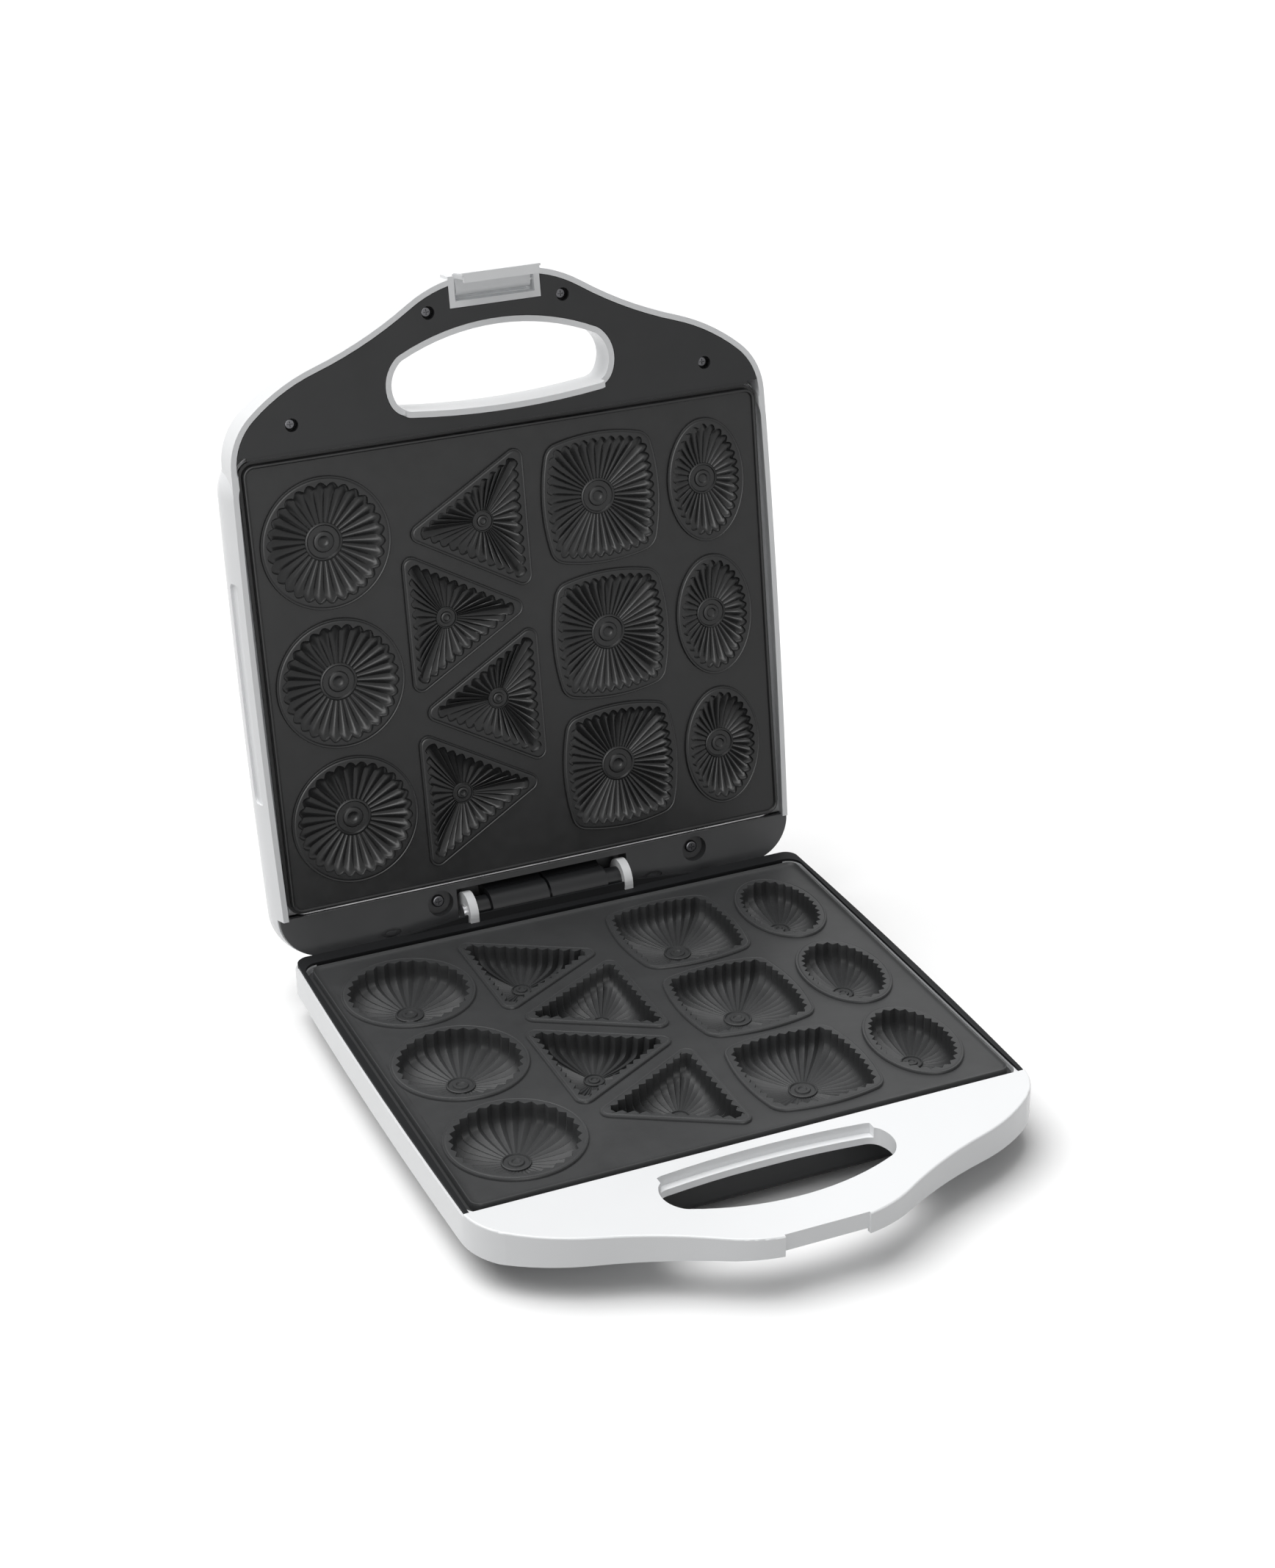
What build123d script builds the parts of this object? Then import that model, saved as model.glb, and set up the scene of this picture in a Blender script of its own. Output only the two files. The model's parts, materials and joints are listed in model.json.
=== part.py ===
from build123d import *
import math
import os

# Countertop biscuit maker, shown with its lid open.
# Millimetres and degrees. +X is right, -Y is the handle side, +Z is up.
# The origin lies on the surface that the feet stand on, under the middle of the opened maker.
#
# Each half is drawn in a frame of its own: local x runs across, local y towards the handle and
# local z away from the plane in which the two baking plates meet when the lid is shut.
# Levels below are local z, spots are local x and y.

# Driving dimensions
row_pitch = 63.0
mating_height = 30.0
centre_y = -4.0
lid_angle = 98.3

# Baking plates
plate_width = 242.0
plate_depth = 205.4
plate_corner = 6.5
land_level = 0.2
field_level = 1.2
plate_back = 4.4
bead_width = 1.6
bead_inset = 1.4
skirt_width = 4.0
skirt_level = 5.4

# Biscuit forms: outer size of the raised land round each one
circle_land = 29.4
square_half_width = 28.5
square_half_height = 29.9
square_corner_pull = 3.8
square_corner_radius = 8.0
square_corner_share = 0.8
oval_half_width = 19.0
oval_half_height = 28.4
triangle_side = 68.3
triangle_corner = 4.4
land_width = 3.8
lower_form_depth = 12.0
upper_form_depth = 2.8
form_rounding = 0.8
bowl_inset = 1.4
lower_bowl_wall = 1.4
upper_bowl_wall = 2.4

# Columns and rows of the forms, from the middle of the plate
circle_column = -86.4
square_column = 41.8
oval_column = 93.2
left_triangle_column = -13.3
right_triangle_column = -34.2
triangle_rows = (60.3, 19.9, -21.3, -62.1)

# White housings
rim_level = 0.5
skin = 2.4
front_opening = 103.6
rear_opening = -104.2
side_opening = 121.6
opening_corner = 6.8
base_rear = -112.0
base_rear_corner = 7.0
lid_rear = -123.6
lid_corner = 19.0
rear_half_width = 123.8
middle_half_width = 125.6
front_half_width = 124.4
base_wall_level = 15.5
well_wall_level = 13.3
nose_level = 9.2
edge_radius = 0.8
border_top = 0.6
border_side_back = 1.8
border_rear_back = 3.2
border_inset = 1.0

# Outer surface of the lid's body: level and growth of its plan
lid_level = 29.0
lid_body_front = 106.0
lid_sections = ((rim_level, 0.0), (7.0, 1.6), (14.0, 2.4), (21.0, 1.2), (26.0, -2.4), (lid_level, -8.0))
handle_overlap = 78.0
groove_half_length = 50.0
groove_levels = (4.0, 12.0)
groove_depth = 0.9
groove_corner = 2.5

# Handle outline: ends of the tangent arcs of its right half, from the shoulder to the nose
shoulder_start = 100.0
handle_points = ((114.0, 122.0), (84.0, 138.9), (40.0, 159.8))
nose_front = 169.0
slope_middle = (147.0, 12.5)
slope_start = 120.0

# Hand hole, its collar, its lip in the lid and the recess for that lip in the base
hole_rear = 112.2
hole_rear_end = (46.5, 115.2)
hole_side = (50.4, 125.5)
hole_front_end = (45.0, 136.2)
hole_front = 146.4
hole_corner = 7.0
hole_rear_share = (0.46, 0.95)
hole_front_share = (0.54, 0.85)
lid_collar = 2.6
base_collar = 5.4
collar_level = 8.4
lip_half_width = 46.0
lip_front = 118.0
lip_rise = 3.8
recess_width = 3.2
recess_depth = 4.8
recess_room = 0.8

# Covers on the lid's inner side
cover_thickness = 2.2
cover_gap = 0.25
handle_cover_rear = 104.9
rear_cover_level = 3.5
rear_cover_back = 5.9
rear_cover_growth = 0.9
rear_screw_length = 10.0

# Ledge inside each housing, plate frame and the screws through it
frame_back = 8.4
ledge_back = 10.4
frame_half_width = 120.9
frame_front = 103.4
frame_rear = -104.0
frame_corner = 9.0
frame_inner_half_width = 115.4
frame_inner_half_depth = 93.0
frame_inner_corner = 20.0
ledge_inner_half_width = 118.8
ledge_inner_half_depth = 100.6
plate_screw_spot = (108.0, 95.0)
plate_boss_radius = 3.0

# Latch
latch_pivot = (163.0, 5.0)
latch_half_width = 17.2
latch_lip_half_width = 17.8
latch_rest_angle = 4.0
latch_hub_radius = 3.1
latch_pin_radius = 1.25
latch_crown = (4.95, 0.95)
latch_shoulder = -4.0
latch_web = -3.4
latch_groove = -8.0
groove_half = 0.4
latch_ridge = 0.5
latch_wall_inner = 167.5
latch_wall_outer = 169.8
hook_inner = 166.2
hook_level = -8.4
hook_thickness = 2.2
pocket_half_width = 18.2
pocket_rear = 158.2
pocket_open = 161.0
pocket_floor = 8.6
pocket_wall = 2.7
catch_recess = 2.0
catch_level = 8.0

# Hinge
hinge_rear = 117.2
hinge_rise = 1.2
hinge_pin_radius = 2.0
running_gap = 0.05
barrel_radius = 7.5
barrel_inner = 0.6
barrel_outer = 28.3
bushing_radius = 5.5
bushing_inner = 28.8
rivet_radius = 3.2
rivet_height = 1.0
ear_inner = 36.0
ear_outer = 40.0
ear_radius = 9.0
notch_half_width = 42.0
base_notch_front = -109.4
lid_notch_front = -106.9
notch_wall = 2.0
slot_gap = 0.3
seat_gap = 0.2
ear_seat_front = -110.0
ear_seat_depth = 2.0
rib_width = 1.0
rib_half_width = 35.6
rib_rise = 3.2
fin_tips = (-72.0, 70.8)
fin_rise = 2.6
fin_foot = 2.0
fin_gap = 0.6
fin_thickness = 1.2
shelf_level = 9.4
lid_notch_level = 13.0
arm_level = 10.4
arm_thickness = 2.4
arm_front = -97.0
arm_web = (-107.2, -111.2, -112.6)
lid_well_cut = 107.4

# Bottom cover and feet
tub_half_width = 113.0
tub_front = 106.2
tub_rear = -107.0
tub_level = 26.0
tub_wall = 2.0
tub_corner = 14.0
tub_edge_radius = 4.0
flange_screw_spot = (117.8, 84.0)
foot_radius = 7.5
foot_spot = (100.0, 90.0)
foot_plug_radius = 3.0
foot_draft = 10.0

# Heating elements and what holds them
tube_radius = 3.0
tube_bend = 16.0
tube_left = -93.6
tube_right = 86.0
tube_front = 78.0
tube_rear = -77.0
tube_tail = 24.0
tube_end = -86.0
terminal_radius = 1.6
terminal_length = 6.0
post_spots = ((-85.6, 31.5), (-85.6, -31.5), (94.0, 31.5), (94.0, -31.5))
post_radius = 2.7
clamp_length = 24.0
clamp_width = 9.0
clamp_thickness = 1.0
lower_tube_level = 16.8
upper_tube_level = 9.2
reflector_half_width = 108.0
reflector_half_depth = 88.0
reflector_sheet = 0.6
reflector_corner = 12.0
lower_reflector_level = 23.4
lower_reflector_rim = 14.6
upper_reflector_level = 16.6
upper_reflector_rim = 6.2
reflector_post_spots = ((60.0, 52.0), (-60.0, 52.0), (60.0, -52.0), (-60.0, -52.0))
reflector_post_radius = 3.0

# Screws: head radius, head height, shank radius
small_screw = (2.5, 1.6, 1.2)
large_screw = (2.9, 1.8, 1.5)
base_screw_length = 4.5
plate_screw_length = 5.5
lower_clamp_screw_length = 8.0
upper_clamp_screw_length = 7.0
screw_clearance = 0.1
cup_wall = 1.3
cup_floor = 1.2
handle_screw_spots = ((31.0, 155.0), (-31.0, 155.0), (96.0, 116.0), (-96.0, 116.0))
handle_cup_radius = 2.9
handle_cup_level = 6.0
rear_screw_spots = ((50.0, -112.0), (-76.5, -112.0))
rear_cup_radius = 6.1
rear_cup_level = 9.4
screw_post_radius = 3.6
screw_post_depth = 3.0

# Small parts
stud_spots = ((74.6, -120.9), (-54.6, -120.9))
stud_well = (4.8, 2.3)
stud_size = (2.6, 1.1)
stud_depth = 0.8
flange_front = 103.2
flange_half_width = 117.0
thermostat_radius = 8.0
thermostat_height = 5.5
blade_size = (1.6, 5.0)
fuse_radius = 2.0
fuse_length = 22.0
terminal_block_spot = (62.0, -99.5)
terminal_block_size = (30.0, 9.0, 8.0)
gland_spot = (82.0, 8.3)
gland_flange_radius = 4.8
gland_body_radius = 3.9
gland_bore_radius = 2.6
gland_flange = 2.0
lens_spots = ((9.0, 86.0), (-9.0, 86.0))
lens_radius = 3.6
lens_flange_radius = 4.8
lens_rise = 0.8
holder_size = (30.0, 12.0, 5.0)
holder_post_x = 20.0
holder_post_radius = 2.5

# Frames of the two halves
mating_middle = Vector(0, centre_y, mating_height)
hinge_point = Vector(0, centre_y + hinge_rear, mating_height + hinge_rise)
opening = math.radians(lid_angle)
closed_arm = mating_middle - hinge_point
opened_arm = Vector(
    0,
    closed_arm.Y * math.cos(opening) + closed_arm.Z * math.sin(opening),
    closed_arm.Z * math.cos(opening) - closed_arm.Y * math.sin(opening),
)
base_frame = Plane(origin=mating_middle, x_dir=(1, 0, 0), z_dir=(0, 0, -1))
lid_frame = Plane(
    origin=hinge_point + opened_arm,
    x_dir=(-1, 0, 0),
    z_dir=(0, math.sin(opening), math.cos(opening)),
)


def side_of(frame, shift=0.0):
    """Plane across a half: its x is the half's y, its y is the half's z."""
    return Plane(
        origin=frame.origin + frame.x_dir * shift,
        x_dir=frame.y_dir,
        z_dir=frame.x_dir,
    )


def local_level(frame, edge):
    """Level of the middle of an edge in a half's own frame."""
    return frame.to_local_coords(edge.center()).Z


def housing_face(inset=0.0):
    """Plan of a housing with its handle, drawn in by the inset all round."""
    with BuildSketch() as plan:
        with BuildLine():
            Line((0, base_rear), (rear_half_width, base_rear))
            outline = ThreePointArc(
                (rear_half_width, base_rear),
                (middle_half_width, 0),
                (front_half_width, shoulder_start),
            )
            for point in handle_points:
                outline = TangentArc(outline @ 1, point, tangent=outline % 1)
            heading = outline % 1
            turn = math.atan2(heading.Y, -heading.X)
            nose_radius = (nose_front - (outline @ 1).Y) / (1 - math.cos(turn))
            nose = JernArc(outline @ 1, heading, nose_radius, math.degrees(turn))
            Line(nose @ 1, (0, (nose @ 1).Y))
            mirror(about=Plane.YZ)
        make_face()
        rear_vertices = plan.vertices().group_by(Axis.Y)[0].filter_by(lambda v: abs(v.X) > 1)
        fillet(rear_vertices, radius=base_rear_corner)
        if inset:
            offset(amount=-inset, kind=Kind.ARC, mode=Mode.REPLACE)
    return plan.sketch


def body_face(grow=0.0):
    """Plan of the lid's raised body, without the handle, let out by the growth all round."""
    rear = (rear_half_width + grow, lid_rear - grow)
    front = (front_half_width + grow, lid_body_front + grow)
    middle = middle_half_width + grow
    with BuildSketch() as plan:
        with BuildLine():
            Line((-rear[0], rear[1]), rear)
            ThreePointArc(rear, (middle, 0), front)
            Line(front, (-front[0], front[1]))
            ThreePointArc((-front[0], front[1]), (-middle, 0), (-rear[0], rear[1]))
        make_face()
        fillet(plan.vertices(), radius=lid_corner + grow)
    return plan.sketch


def hole_face(grow=0.0):
    """Plan of the hand hole, let out by the growth all round."""
    rear = (hole_rear_end[0] + hole_rear_share[0] * grow, hole_rear_end[1] - hole_rear_share[1] * grow)
    front = (
        hole_front_end[0] + hole_front_share[0] * grow,
        hole_front_end[1] + hole_front_share[1] * grow,
    )
    side = (hole_side[0] + grow, hole_side[1])
    with BuildSketch() as plan:
        with BuildLine():
            ThreePointArc((-rear[0], rear[1]), (0, hole_rear - grow), rear)
            ThreePointArc(rear, side, front)
            ThreePointArc(front, (0, hole_front + grow), (-front[0], front[1]))
            ThreePointArc((-front[0], front[1]), (-side[0], side[1]), (-rear[0], rear[1]))
        make_face()
        fillet(plan.vertices(), radius=hole_corner + grow)
    return plan.sketch


def box_face(half_width, front, rear, corner):
    """Rounded rectangle given by its half width and its front and rear edge."""
    with BuildSketch() as plan:
        with Locations((0, (front + rear) / 2)):
            RectangleRounded(2 * half_width, front - rear, corner)
    return plan.sketch


def band_face(rear, front, half_width):
    """Plain rectangle across a half."""
    with BuildSketch() as plan:
        with Locations((0, (front + rear) / 2)):
            Rectangle(2 * half_width, front - rear)
    return plan.sketch


def ledge_face(grow):
    """Plan of the ledge that runs round inside a housing."""
    with BuildSketch() as plan:
        add(body_face(grow))
        add(band_face(rear_opening, front_opening, middle_half_width), mode=Mode.INTERSECT)
        add(
            box_face(
                ledge_inner_half_width,
                ledge_inner_half_depth,
                -ledge_inner_half_depth,
                opening_corner,
            ),
            mode=Mode.SUBTRACT,
        )
    return plan.sketch


def border_face(inset):
    """Plan of the dark border: three arms round the opening for the plate."""
    with BuildSketch() as plan:
        add(housing_face(inset))
        add(band_face(base_rear, front_opening, middle_half_width), mode=Mode.INTERSECT)
        add(
            box_face(side_opening, front_opening + opening_corner, rear_opening, opening_corner),
            mode=Mode.SUBTRACT,
        )
    return plan.sketch


def circle_form(inset):
    with BuildSketch() as form:
        Circle(circle_land - inset)
    return form.sketch


def square_form(inset):
    """Square with bowed sides and round corners."""
    middle_x = square_half_width - inset
    middle_y = square_half_height - inset
    x = square_half_width - square_corner_pull - square_corner_share * inset
    y = square_half_height - square_corner_pull - square_corner_share * inset
    with BuildSketch() as form:
        with BuildLine():
            ThreePointArc((x, -y), (middle_x, 0), (x, y))
            ThreePointArc((x, y), (0, middle_y), (-x, y))
            ThreePointArc((-x, y), (-middle_x, 0), (-x, -y))
            ThreePointArc((-x, -y), (0, -middle_y), (x, -y))
        make_face()
        fillet(form.vertices(), radius=square_corner_radius - inset)
    return form.sketch


def oval_form(inset):
    with BuildSketch() as form:
        Ellipse(oval_half_width - inset, oval_half_height - inset)
    return form.sketch


def triangle_form(inset, point_left):
    """Equilateral triangle about its centre, one corner pointing left or right."""
    half_side = triangle_side / 2 - inset * math.sqrt(3)
    reach = half_side / math.sqrt(3)
    tip = -2 * reach if point_left else 2 * reach
    with BuildSketch() as form:
        with BuildLine():
            Polyline((tip, 0), (-tip / 2, half_side), (-tip / 2, -half_side), close=True)
        make_face()
        fillet(form.vertices(), radius=triangle_corner - inset)
    return form.sketch


def forms(side, inset):
    """Faces of the thirteen biscuit forms. Side is 1 on the base and -1 on the lid."""
    placed = []
    for row in (row_pitch, 0, -row_pitch):
        placed.append(Pos(side * circle_column, row) * circle_form(inset))
        placed.append(Pos(side * square_column, row) * square_form(inset))
        placed.append(Pos(side * oval_column, row) * oval_form(inset))
    for number, row in enumerate(triangle_rows):
        points_left = number % 2 == 0
        column = left_triangle_column if points_left else right_triangle_column
        placed.append(Pos(side * column, row) * triangle_form(inset, points_left == (side > 0)))
    return placed


def outside_handle(frame):
    """Everything outside the sloping outer face of a handle."""
    with BuildPart() as region:
        with BuildSketch(side_of(frame)):
            with BuildLine():
                Line((handle_overlap, base_wall_level), (slope_start, base_wall_level))
                ThreePointArc((slope_start, base_wall_level), slope_middle, (nose_front + 4, nose_level))
                Polyline(
                    (nose_front + 4, nose_level),
                    (nose_front + 4, 2 * lid_level),
                    (handle_overlap, 2 * lid_level),
                    (handle_overlap, base_wall_level),
                )
            make_face()
        extrude(amount=middle_half_width + 4, both=True)
    return region.part


def screws(frame, spots, head_level, size, length):
    """Screws with domed heads. The heads sit on head_level and the shanks go deeper."""
    head_radius, head_height, shank_radius = size
    with BuildPart() as group:
        with BuildSketch(frame.offset(head_level)):
            with Locations(*spots):
                Circle(head_radius)
        extrude(amount=-head_height)
        top = [e for e in group.edges() if local_level(frame, e) < head_level - head_height / 2]
        fillet(top, radius=head_height / 2)
        with BuildSketch(frame.offset(head_level)):
            with Locations(*spots):
                Circle(shank_radius)
        extrude(amount=length)
        with BuildSketch(frame.offset(head_level - head_height)):
            with Locations(*spots):
                Rectangle(head_radius, head_height / 4)
                Rectangle(head_height / 4, head_radius)
        extrude(amount=head_height / 2, mode=Mode.SUBTRACT)
    return group.part


def round_bottomed(frame, face, depth):
    """Solid of one form, straight at its wall and rounded towards its bottom."""
    with BuildPart() as block:
        with BuildSketch(frame.offset(land_level)):
            add(face)
        extrude(amount=depth)
        bottom = [e for e in block.edges() if local_level(frame, e) > land_level + depth - 0.1]
        corners = [e.radius for e in face.edges().filter_by(GeomType.CIRCLE)]
        fillet(bottom, radius=min([depth / 2] + [form_rounding * radius for radius in corners]))
    return block.part


def plate_part(frame, side, depth, wall, post_level):
    """One cast baking plate with its lands, forms, bowls, skirt, bosses and clamp posts."""
    with BuildPart() as plate:
        with BuildSketch(frame.offset(field_level)):
            RectangleRounded(plate_width, plate_depth, plate_corner)
        extrude(amount=plate_back - field_level)
        with BuildSketch(frame.offset(land_level)):
            RectangleRounded(
                plate_width - 2 * bead_inset,
                plate_depth - 2 * bead_inset,
                plate_corner - bead_inset,
            )
            RectangleRounded(
                plate_width - 2 * (bead_inset + bead_width),
                plate_depth - 2 * (bead_inset + bead_width),
                plate_corner - bead_inset - bead_width,
                mode=Mode.SUBTRACT,
            )
        extrude(amount=field_level - land_level)
        with BuildSketch(frame.offset(plate_back)):
            RectangleRounded(plate_width, plate_depth, plate_corner)
            RectangleRounded(
                plate_width - 2 * skirt_width,
                plate_depth - 2 * skirt_width,
                plate_corner - skirt_width,
                mode=Mode.SUBTRACT,
            )
        extrude(amount=skirt_level - plate_back)
        for land in forms(side, 0):
            with BuildSketch(frame.offset(land_level)):
                add(land)
            extrude(amount=field_level - land_level)
        for bowl in forms(side, bowl_inset):
            add(round_bottomed(frame, bowl, depth + wall))
        for hollow in forms(side, land_width):
            add(round_bottomed(frame, hollow, depth), mode=Mode.SUBTRACT)
        with BuildSketch(frame.offset(plate_back)):
            with Locations(*[(side * x, y) for x, y in post_spots]):
                Circle(post_radius)
        extrude(amount=post_level - plate_back)
        with BuildSketch(frame.offset(plate_back)):
            with GridLocations(2 * plate_screw_spot[0], 2 * plate_screw_spot[1], 2, 2):
                Circle(plate_boss_radius)
        extrude(amount=skirt_level - plate_back)
        with BuildSketch(frame.offset(field_level + 1)):
            with GridLocations(2 * plate_screw_spot[0], 2 * plate_screw_spot[1], 2, 2):
                Circle(large_screw[2] + screw_clearance)
        extrude(amount=skirt_level - field_level, mode=Mode.SUBTRACT)
        with BuildSketch(frame.offset(post_level)):
            with Locations(*[(side * x, y) for x, y in post_spots]):
                Circle(small_screw[2] + screw_clearance)
        extrude(amount=-(post_level - plate_back), mode=Mode.SUBTRACT)
    return plate.part


def plate_frame_part(frame):
    """Heat-proof ring between the plate's skirt and the ledge of the housing."""
    with BuildPart() as ring:
        with BuildSketch(frame.offset(skirt_level)):
            add(box_face(frame_half_width, frame_front, frame_rear, frame_corner))
            add(
                box_face(
                    frame_inner_half_width,
                    frame_inner_half_depth,
                    -frame_inner_half_depth,
                    frame_inner_corner,
                ),
                mode=Mode.SUBTRACT,
            )
            with GridLocations(2 * plate_screw_spot[0], 2 * plate_screw_spot[1], 2, 2):
                Circle(large_screw[2] + screw_clearance, mode=Mode.SUBTRACT)
        extrude(amount=frame_back - skirt_level)
    return ring.part


def element_part(frame, side, level):
    """Tubular heating element, bent into a loop, with a pin at each end."""
    left = side * tube_left
    right = side * tube_right
    middle = (left + right) / 2
    half_tail = side * tube_tail / 2
    with BuildPart() as element:
        with BuildLine(frame.offset(level)) as route:
            FilletPolyline(
                (middle - half_tail, tube_end),
                (middle - half_tail, tube_rear),
                (left, tube_rear),
                (left, tube_front),
                (right, tube_front),
                (right, tube_rear),
                (middle + half_tail, tube_rear),
                (middle + half_tail, tube_end),
                radius=tube_bend / 2,
            )
        with BuildSketch(Plane(origin=route.line @ 0, z_dir=route.line % 0)):
            Circle(tube_radius)
        sweep(path=route.line)
        for end, heading in ((route.line @ 0, -(route.line % 0)), (route.line @ 1, route.line % 1)):
            with BuildSketch(Plane(origin=end, z_dir=heading)):
                Circle(terminal_radius)
            extrude(amount=terminal_length)
    return element.part


def clamps_part(frame, side, level):
    """Four strips that press the heating element against the plate."""
    with BuildPart() as strips:
        with BuildSketch(frame.offset(level)):
            for x, y in post_spots:
                shift = -(clamp_length - clamp_width) / 2
                with Locations((side * (x + shift), y)):
                    SlotOverall(clamp_length, clamp_width)
                with Locations((side * x, y)):
                    Circle(small_screw[2] + screw_clearance, mode=Mode.SUBTRACT)
        extrude(amount=clamp_thickness)
    return strips.part


def reflector_part(frame, side, level, rim, tube_level):
    """Bright sheet tray that keeps the heat off the housing."""
    with BuildPart() as tray:
        with BuildSketch(frame.offset(rim)):
            RectangleRounded(2 * reflector_half_width, 2 * reflector_half_depth, reflector_corner)
        extrude(amount=level - rim)
        with BuildSketch(frame.offset(rim)):
            RectangleRounded(
                2 * (reflector_half_width - reflector_sheet),
                2 * (reflector_half_depth - reflector_sheet),
                reflector_corner - reflector_sheet,
            )
        extrude(amount=level - rim - reflector_sheet, mode=Mode.SUBTRACT)
        with BuildSketch(frame.offset(rim)):
            with Locations((side * (tube_left + tube_right) / 2, -reflector_half_depth)):
                Rectangle(tube_tail + 4 * tube_radius, 4 * reflector_sheet)
        extrude(amount=tube_level + tube_radius + 1 - rim, mode=Mode.SUBTRACT)
    return tray.part


def posts_part(frame, spots, start, end, radius):
    """Round posts between two levels."""
    with BuildPart() as posts:
        with BuildSketch(frame.offset(start)):
            with Locations(*spots):
                Circle(radius)
        extrude(amount=end - start)
    return posts.part


def cups_part(frame, spots, top, bottom, radius, hole_radius):
    """Wells that sink screw heads below a cover: the solids to add and the solids to cut."""
    with BuildPart() as walls:
        with BuildSketch(frame.offset(top)):
            with Locations(*spots):
                Circle(radius + cup_wall)
        extrude(amount=bottom - top)
    with BuildPart() as hollows:
        with BuildSketch(frame.offset(top)):
            with Locations(*spots):
                Circle(radius)
        extrude(amount=bottom - cup_floor - top)
        with BuildSketch(frame.offset(top)):
            with Locations(*spots):
                Circle(hole_radius)
        extrude(amount=bottom - top)
    return walls.part, hollows.part


rear_plane = Plane(
    origin=base_frame.from_local_coords((0, base_rear, 0)),
    x_dir=(-1, 0, 0),
    z_dir=(0, 1, 0),
)

# Base housing: open-bottomed white shell with the handle, hinge ears and catch
with BuildPart() as base_housing:
    with BuildSketch(base_frame.offset(rim_level)):
        add(housing_face())
    extrude(amount=base_wall_level - rim_level)
    rim = [e for e in base_housing.edges() if local_level(base_frame, e) < rim_level + edge_radius]
    fillet(rim, radius=edge_radius)
    add(outside_handle(base_frame), mode=Mode.SUBTRACT)
    with BuildSketch(base_frame.offset(rim_level + skin)):
        add(housing_face(skin))
    extrude(amount=base_wall_level, mode=Mode.SUBTRACT)
    # Well for the plate, its front and rear walls and the ledge that carries the plate frame
    with BuildSketch(base_frame.offset(rim_level)):
        add(box_face(side_opening, front_opening, rear_opening, opening_corner))
    extrude(amount=skin, mode=Mode.SUBTRACT)
    with BuildSketch(base_frame.offset(rim_level + skin)):
        add(band_face(front_opening, front_opening + skin, front_half_width - skin))
        add(band_face(rear_opening - skin, rear_opening, rear_half_width - skin))
    extrude(amount=well_wall_level - rim_level - skin)
    with BuildSketch(base_frame.offset(frame_back)):
        add(ledge_face(-skin / 2))
    extrude(amount=ledge_back - frame_back)
    with BuildSketch(base_frame.offset(ledge_back)):
        with GridLocations(2 * flange_screw_spot[0], 2 * flange_screw_spot[1], 2, 2):
            Rectangle(2 * plate_boss_radius, 2 * plate_boss_radius)
    extrude(amount=well_wall_level - ledge_back)
    with BuildSketch(base_frame.offset(well_wall_level)):
        with GridLocations(2 * flange_screw_spot[0], 2 * flange_screw_spot[1], 2, 2):
            Circle(small_screw[2] + screw_clearance)
    extrude(amount=ledge_back - well_wall_level - 1, mode=Mode.SUBTRACT)
    # Hand hole with its collar and the recess for the lid's lip
    with BuildSketch(base_frame.offset(rim_level + skin / 2)):
        add(hole_face(base_collar))
    extrude(amount=collar_level - rim_level - skin / 2)
    with BuildSketch(base_frame):
        add(hole_face())
    extrude(amount=base_wall_level, mode=Mode.SUBTRACT)
    with BuildSketch(base_frame):
        add(hole_face(recess_width))
        add(band_face(hole_rear - 9, lip_front, lip_half_width + recess_room), mode=Mode.INTERSECT)
    extrude(amount=rim_level + recess_depth, mode=Mode.SUBTRACT)
    # Catch: shallow recess in the nose whose lower edge the hook grips
    with BuildSketch(base_frame):
        add(band_face(nose_front - catch_recess, nose_front + 1, pocket_half_width))
    extrude(amount=base_wall_level, mode=Mode.SUBTRACT)
    with BuildSketch(base_frame.offset(rim_level + skin)):
        add(band_face(nose_front - catch_recess - skin, nose_front - catch_recess, pocket_half_width))
    extrude(amount=catch_level - rim_level - skin)
    with BuildSketch(base_frame.offset(catch_level)):
        add(band_face(nose_front - 3 * skin, nose_front + 1, pocket_half_width))
    extrude(amount=base_wall_level, mode=Mode.SUBTRACT)
    # Seat of the dark border, notch for the barrels, shelf under it and the two ears
    with BuildSketch(base_frame):
        add(band_face(base_rear - 1, front_opening, middle_half_width + 1))
    extrude(amount=border_side_back, mode=Mode.SUBTRACT)
    with BuildSketch(base_frame):
        add(band_face(base_rear - 1, rear_opening, middle_half_width + 1))
    extrude(amount=border_rear_back, mode=Mode.SUBTRACT)
    with BuildSketch(base_frame.offset(border_rear_back)):
        add(band_face(base_rear, rear_opening, notch_half_width + skin))
    extrude(amount=shelf_level + skin - border_rear_back)
    with BuildSketch(base_frame):
        add(band_face(base_rear - 1, base_notch_front, notch_half_width))
    extrude(amount=shelf_level, mode=Mode.SUBTRACT)
    for end in (-ear_outer, ear_inner):
        with BuildSketch(side_of(base_frame, end)):
            with Locations((-hinge_rear, -hinge_rise)):
                Circle(ear_radius)
            with BuildLine():
                Polyline(
                    (-hinge_rear - ear_radius, -hinge_rise),
                    (-hinge_rear + ear_radius, -hinge_rise),
                    (-hinge_rear + ear_radius, shelf_level + skin),
                    (base_rear, shelf_level + skin),
                    close=True,
                )
            make_face()
            with Locations((-hinge_rear, -hinge_rise)):
                Circle(hinge_pin_radius, mode=Mode.SUBTRACT)
        extrude(amount=ear_outer - ear_inner)
    # Hole for the cord gland in the rear wall
    with BuildSketch(rear_plane):
        with Locations((-gland_spot[0], -gland_spot[1])):
            Circle(gland_body_radius)
    extrude(amount=2 * skin, both=True, mode=Mode.SUBTRACT)
base_housing.part.label = "base_housing"

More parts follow.
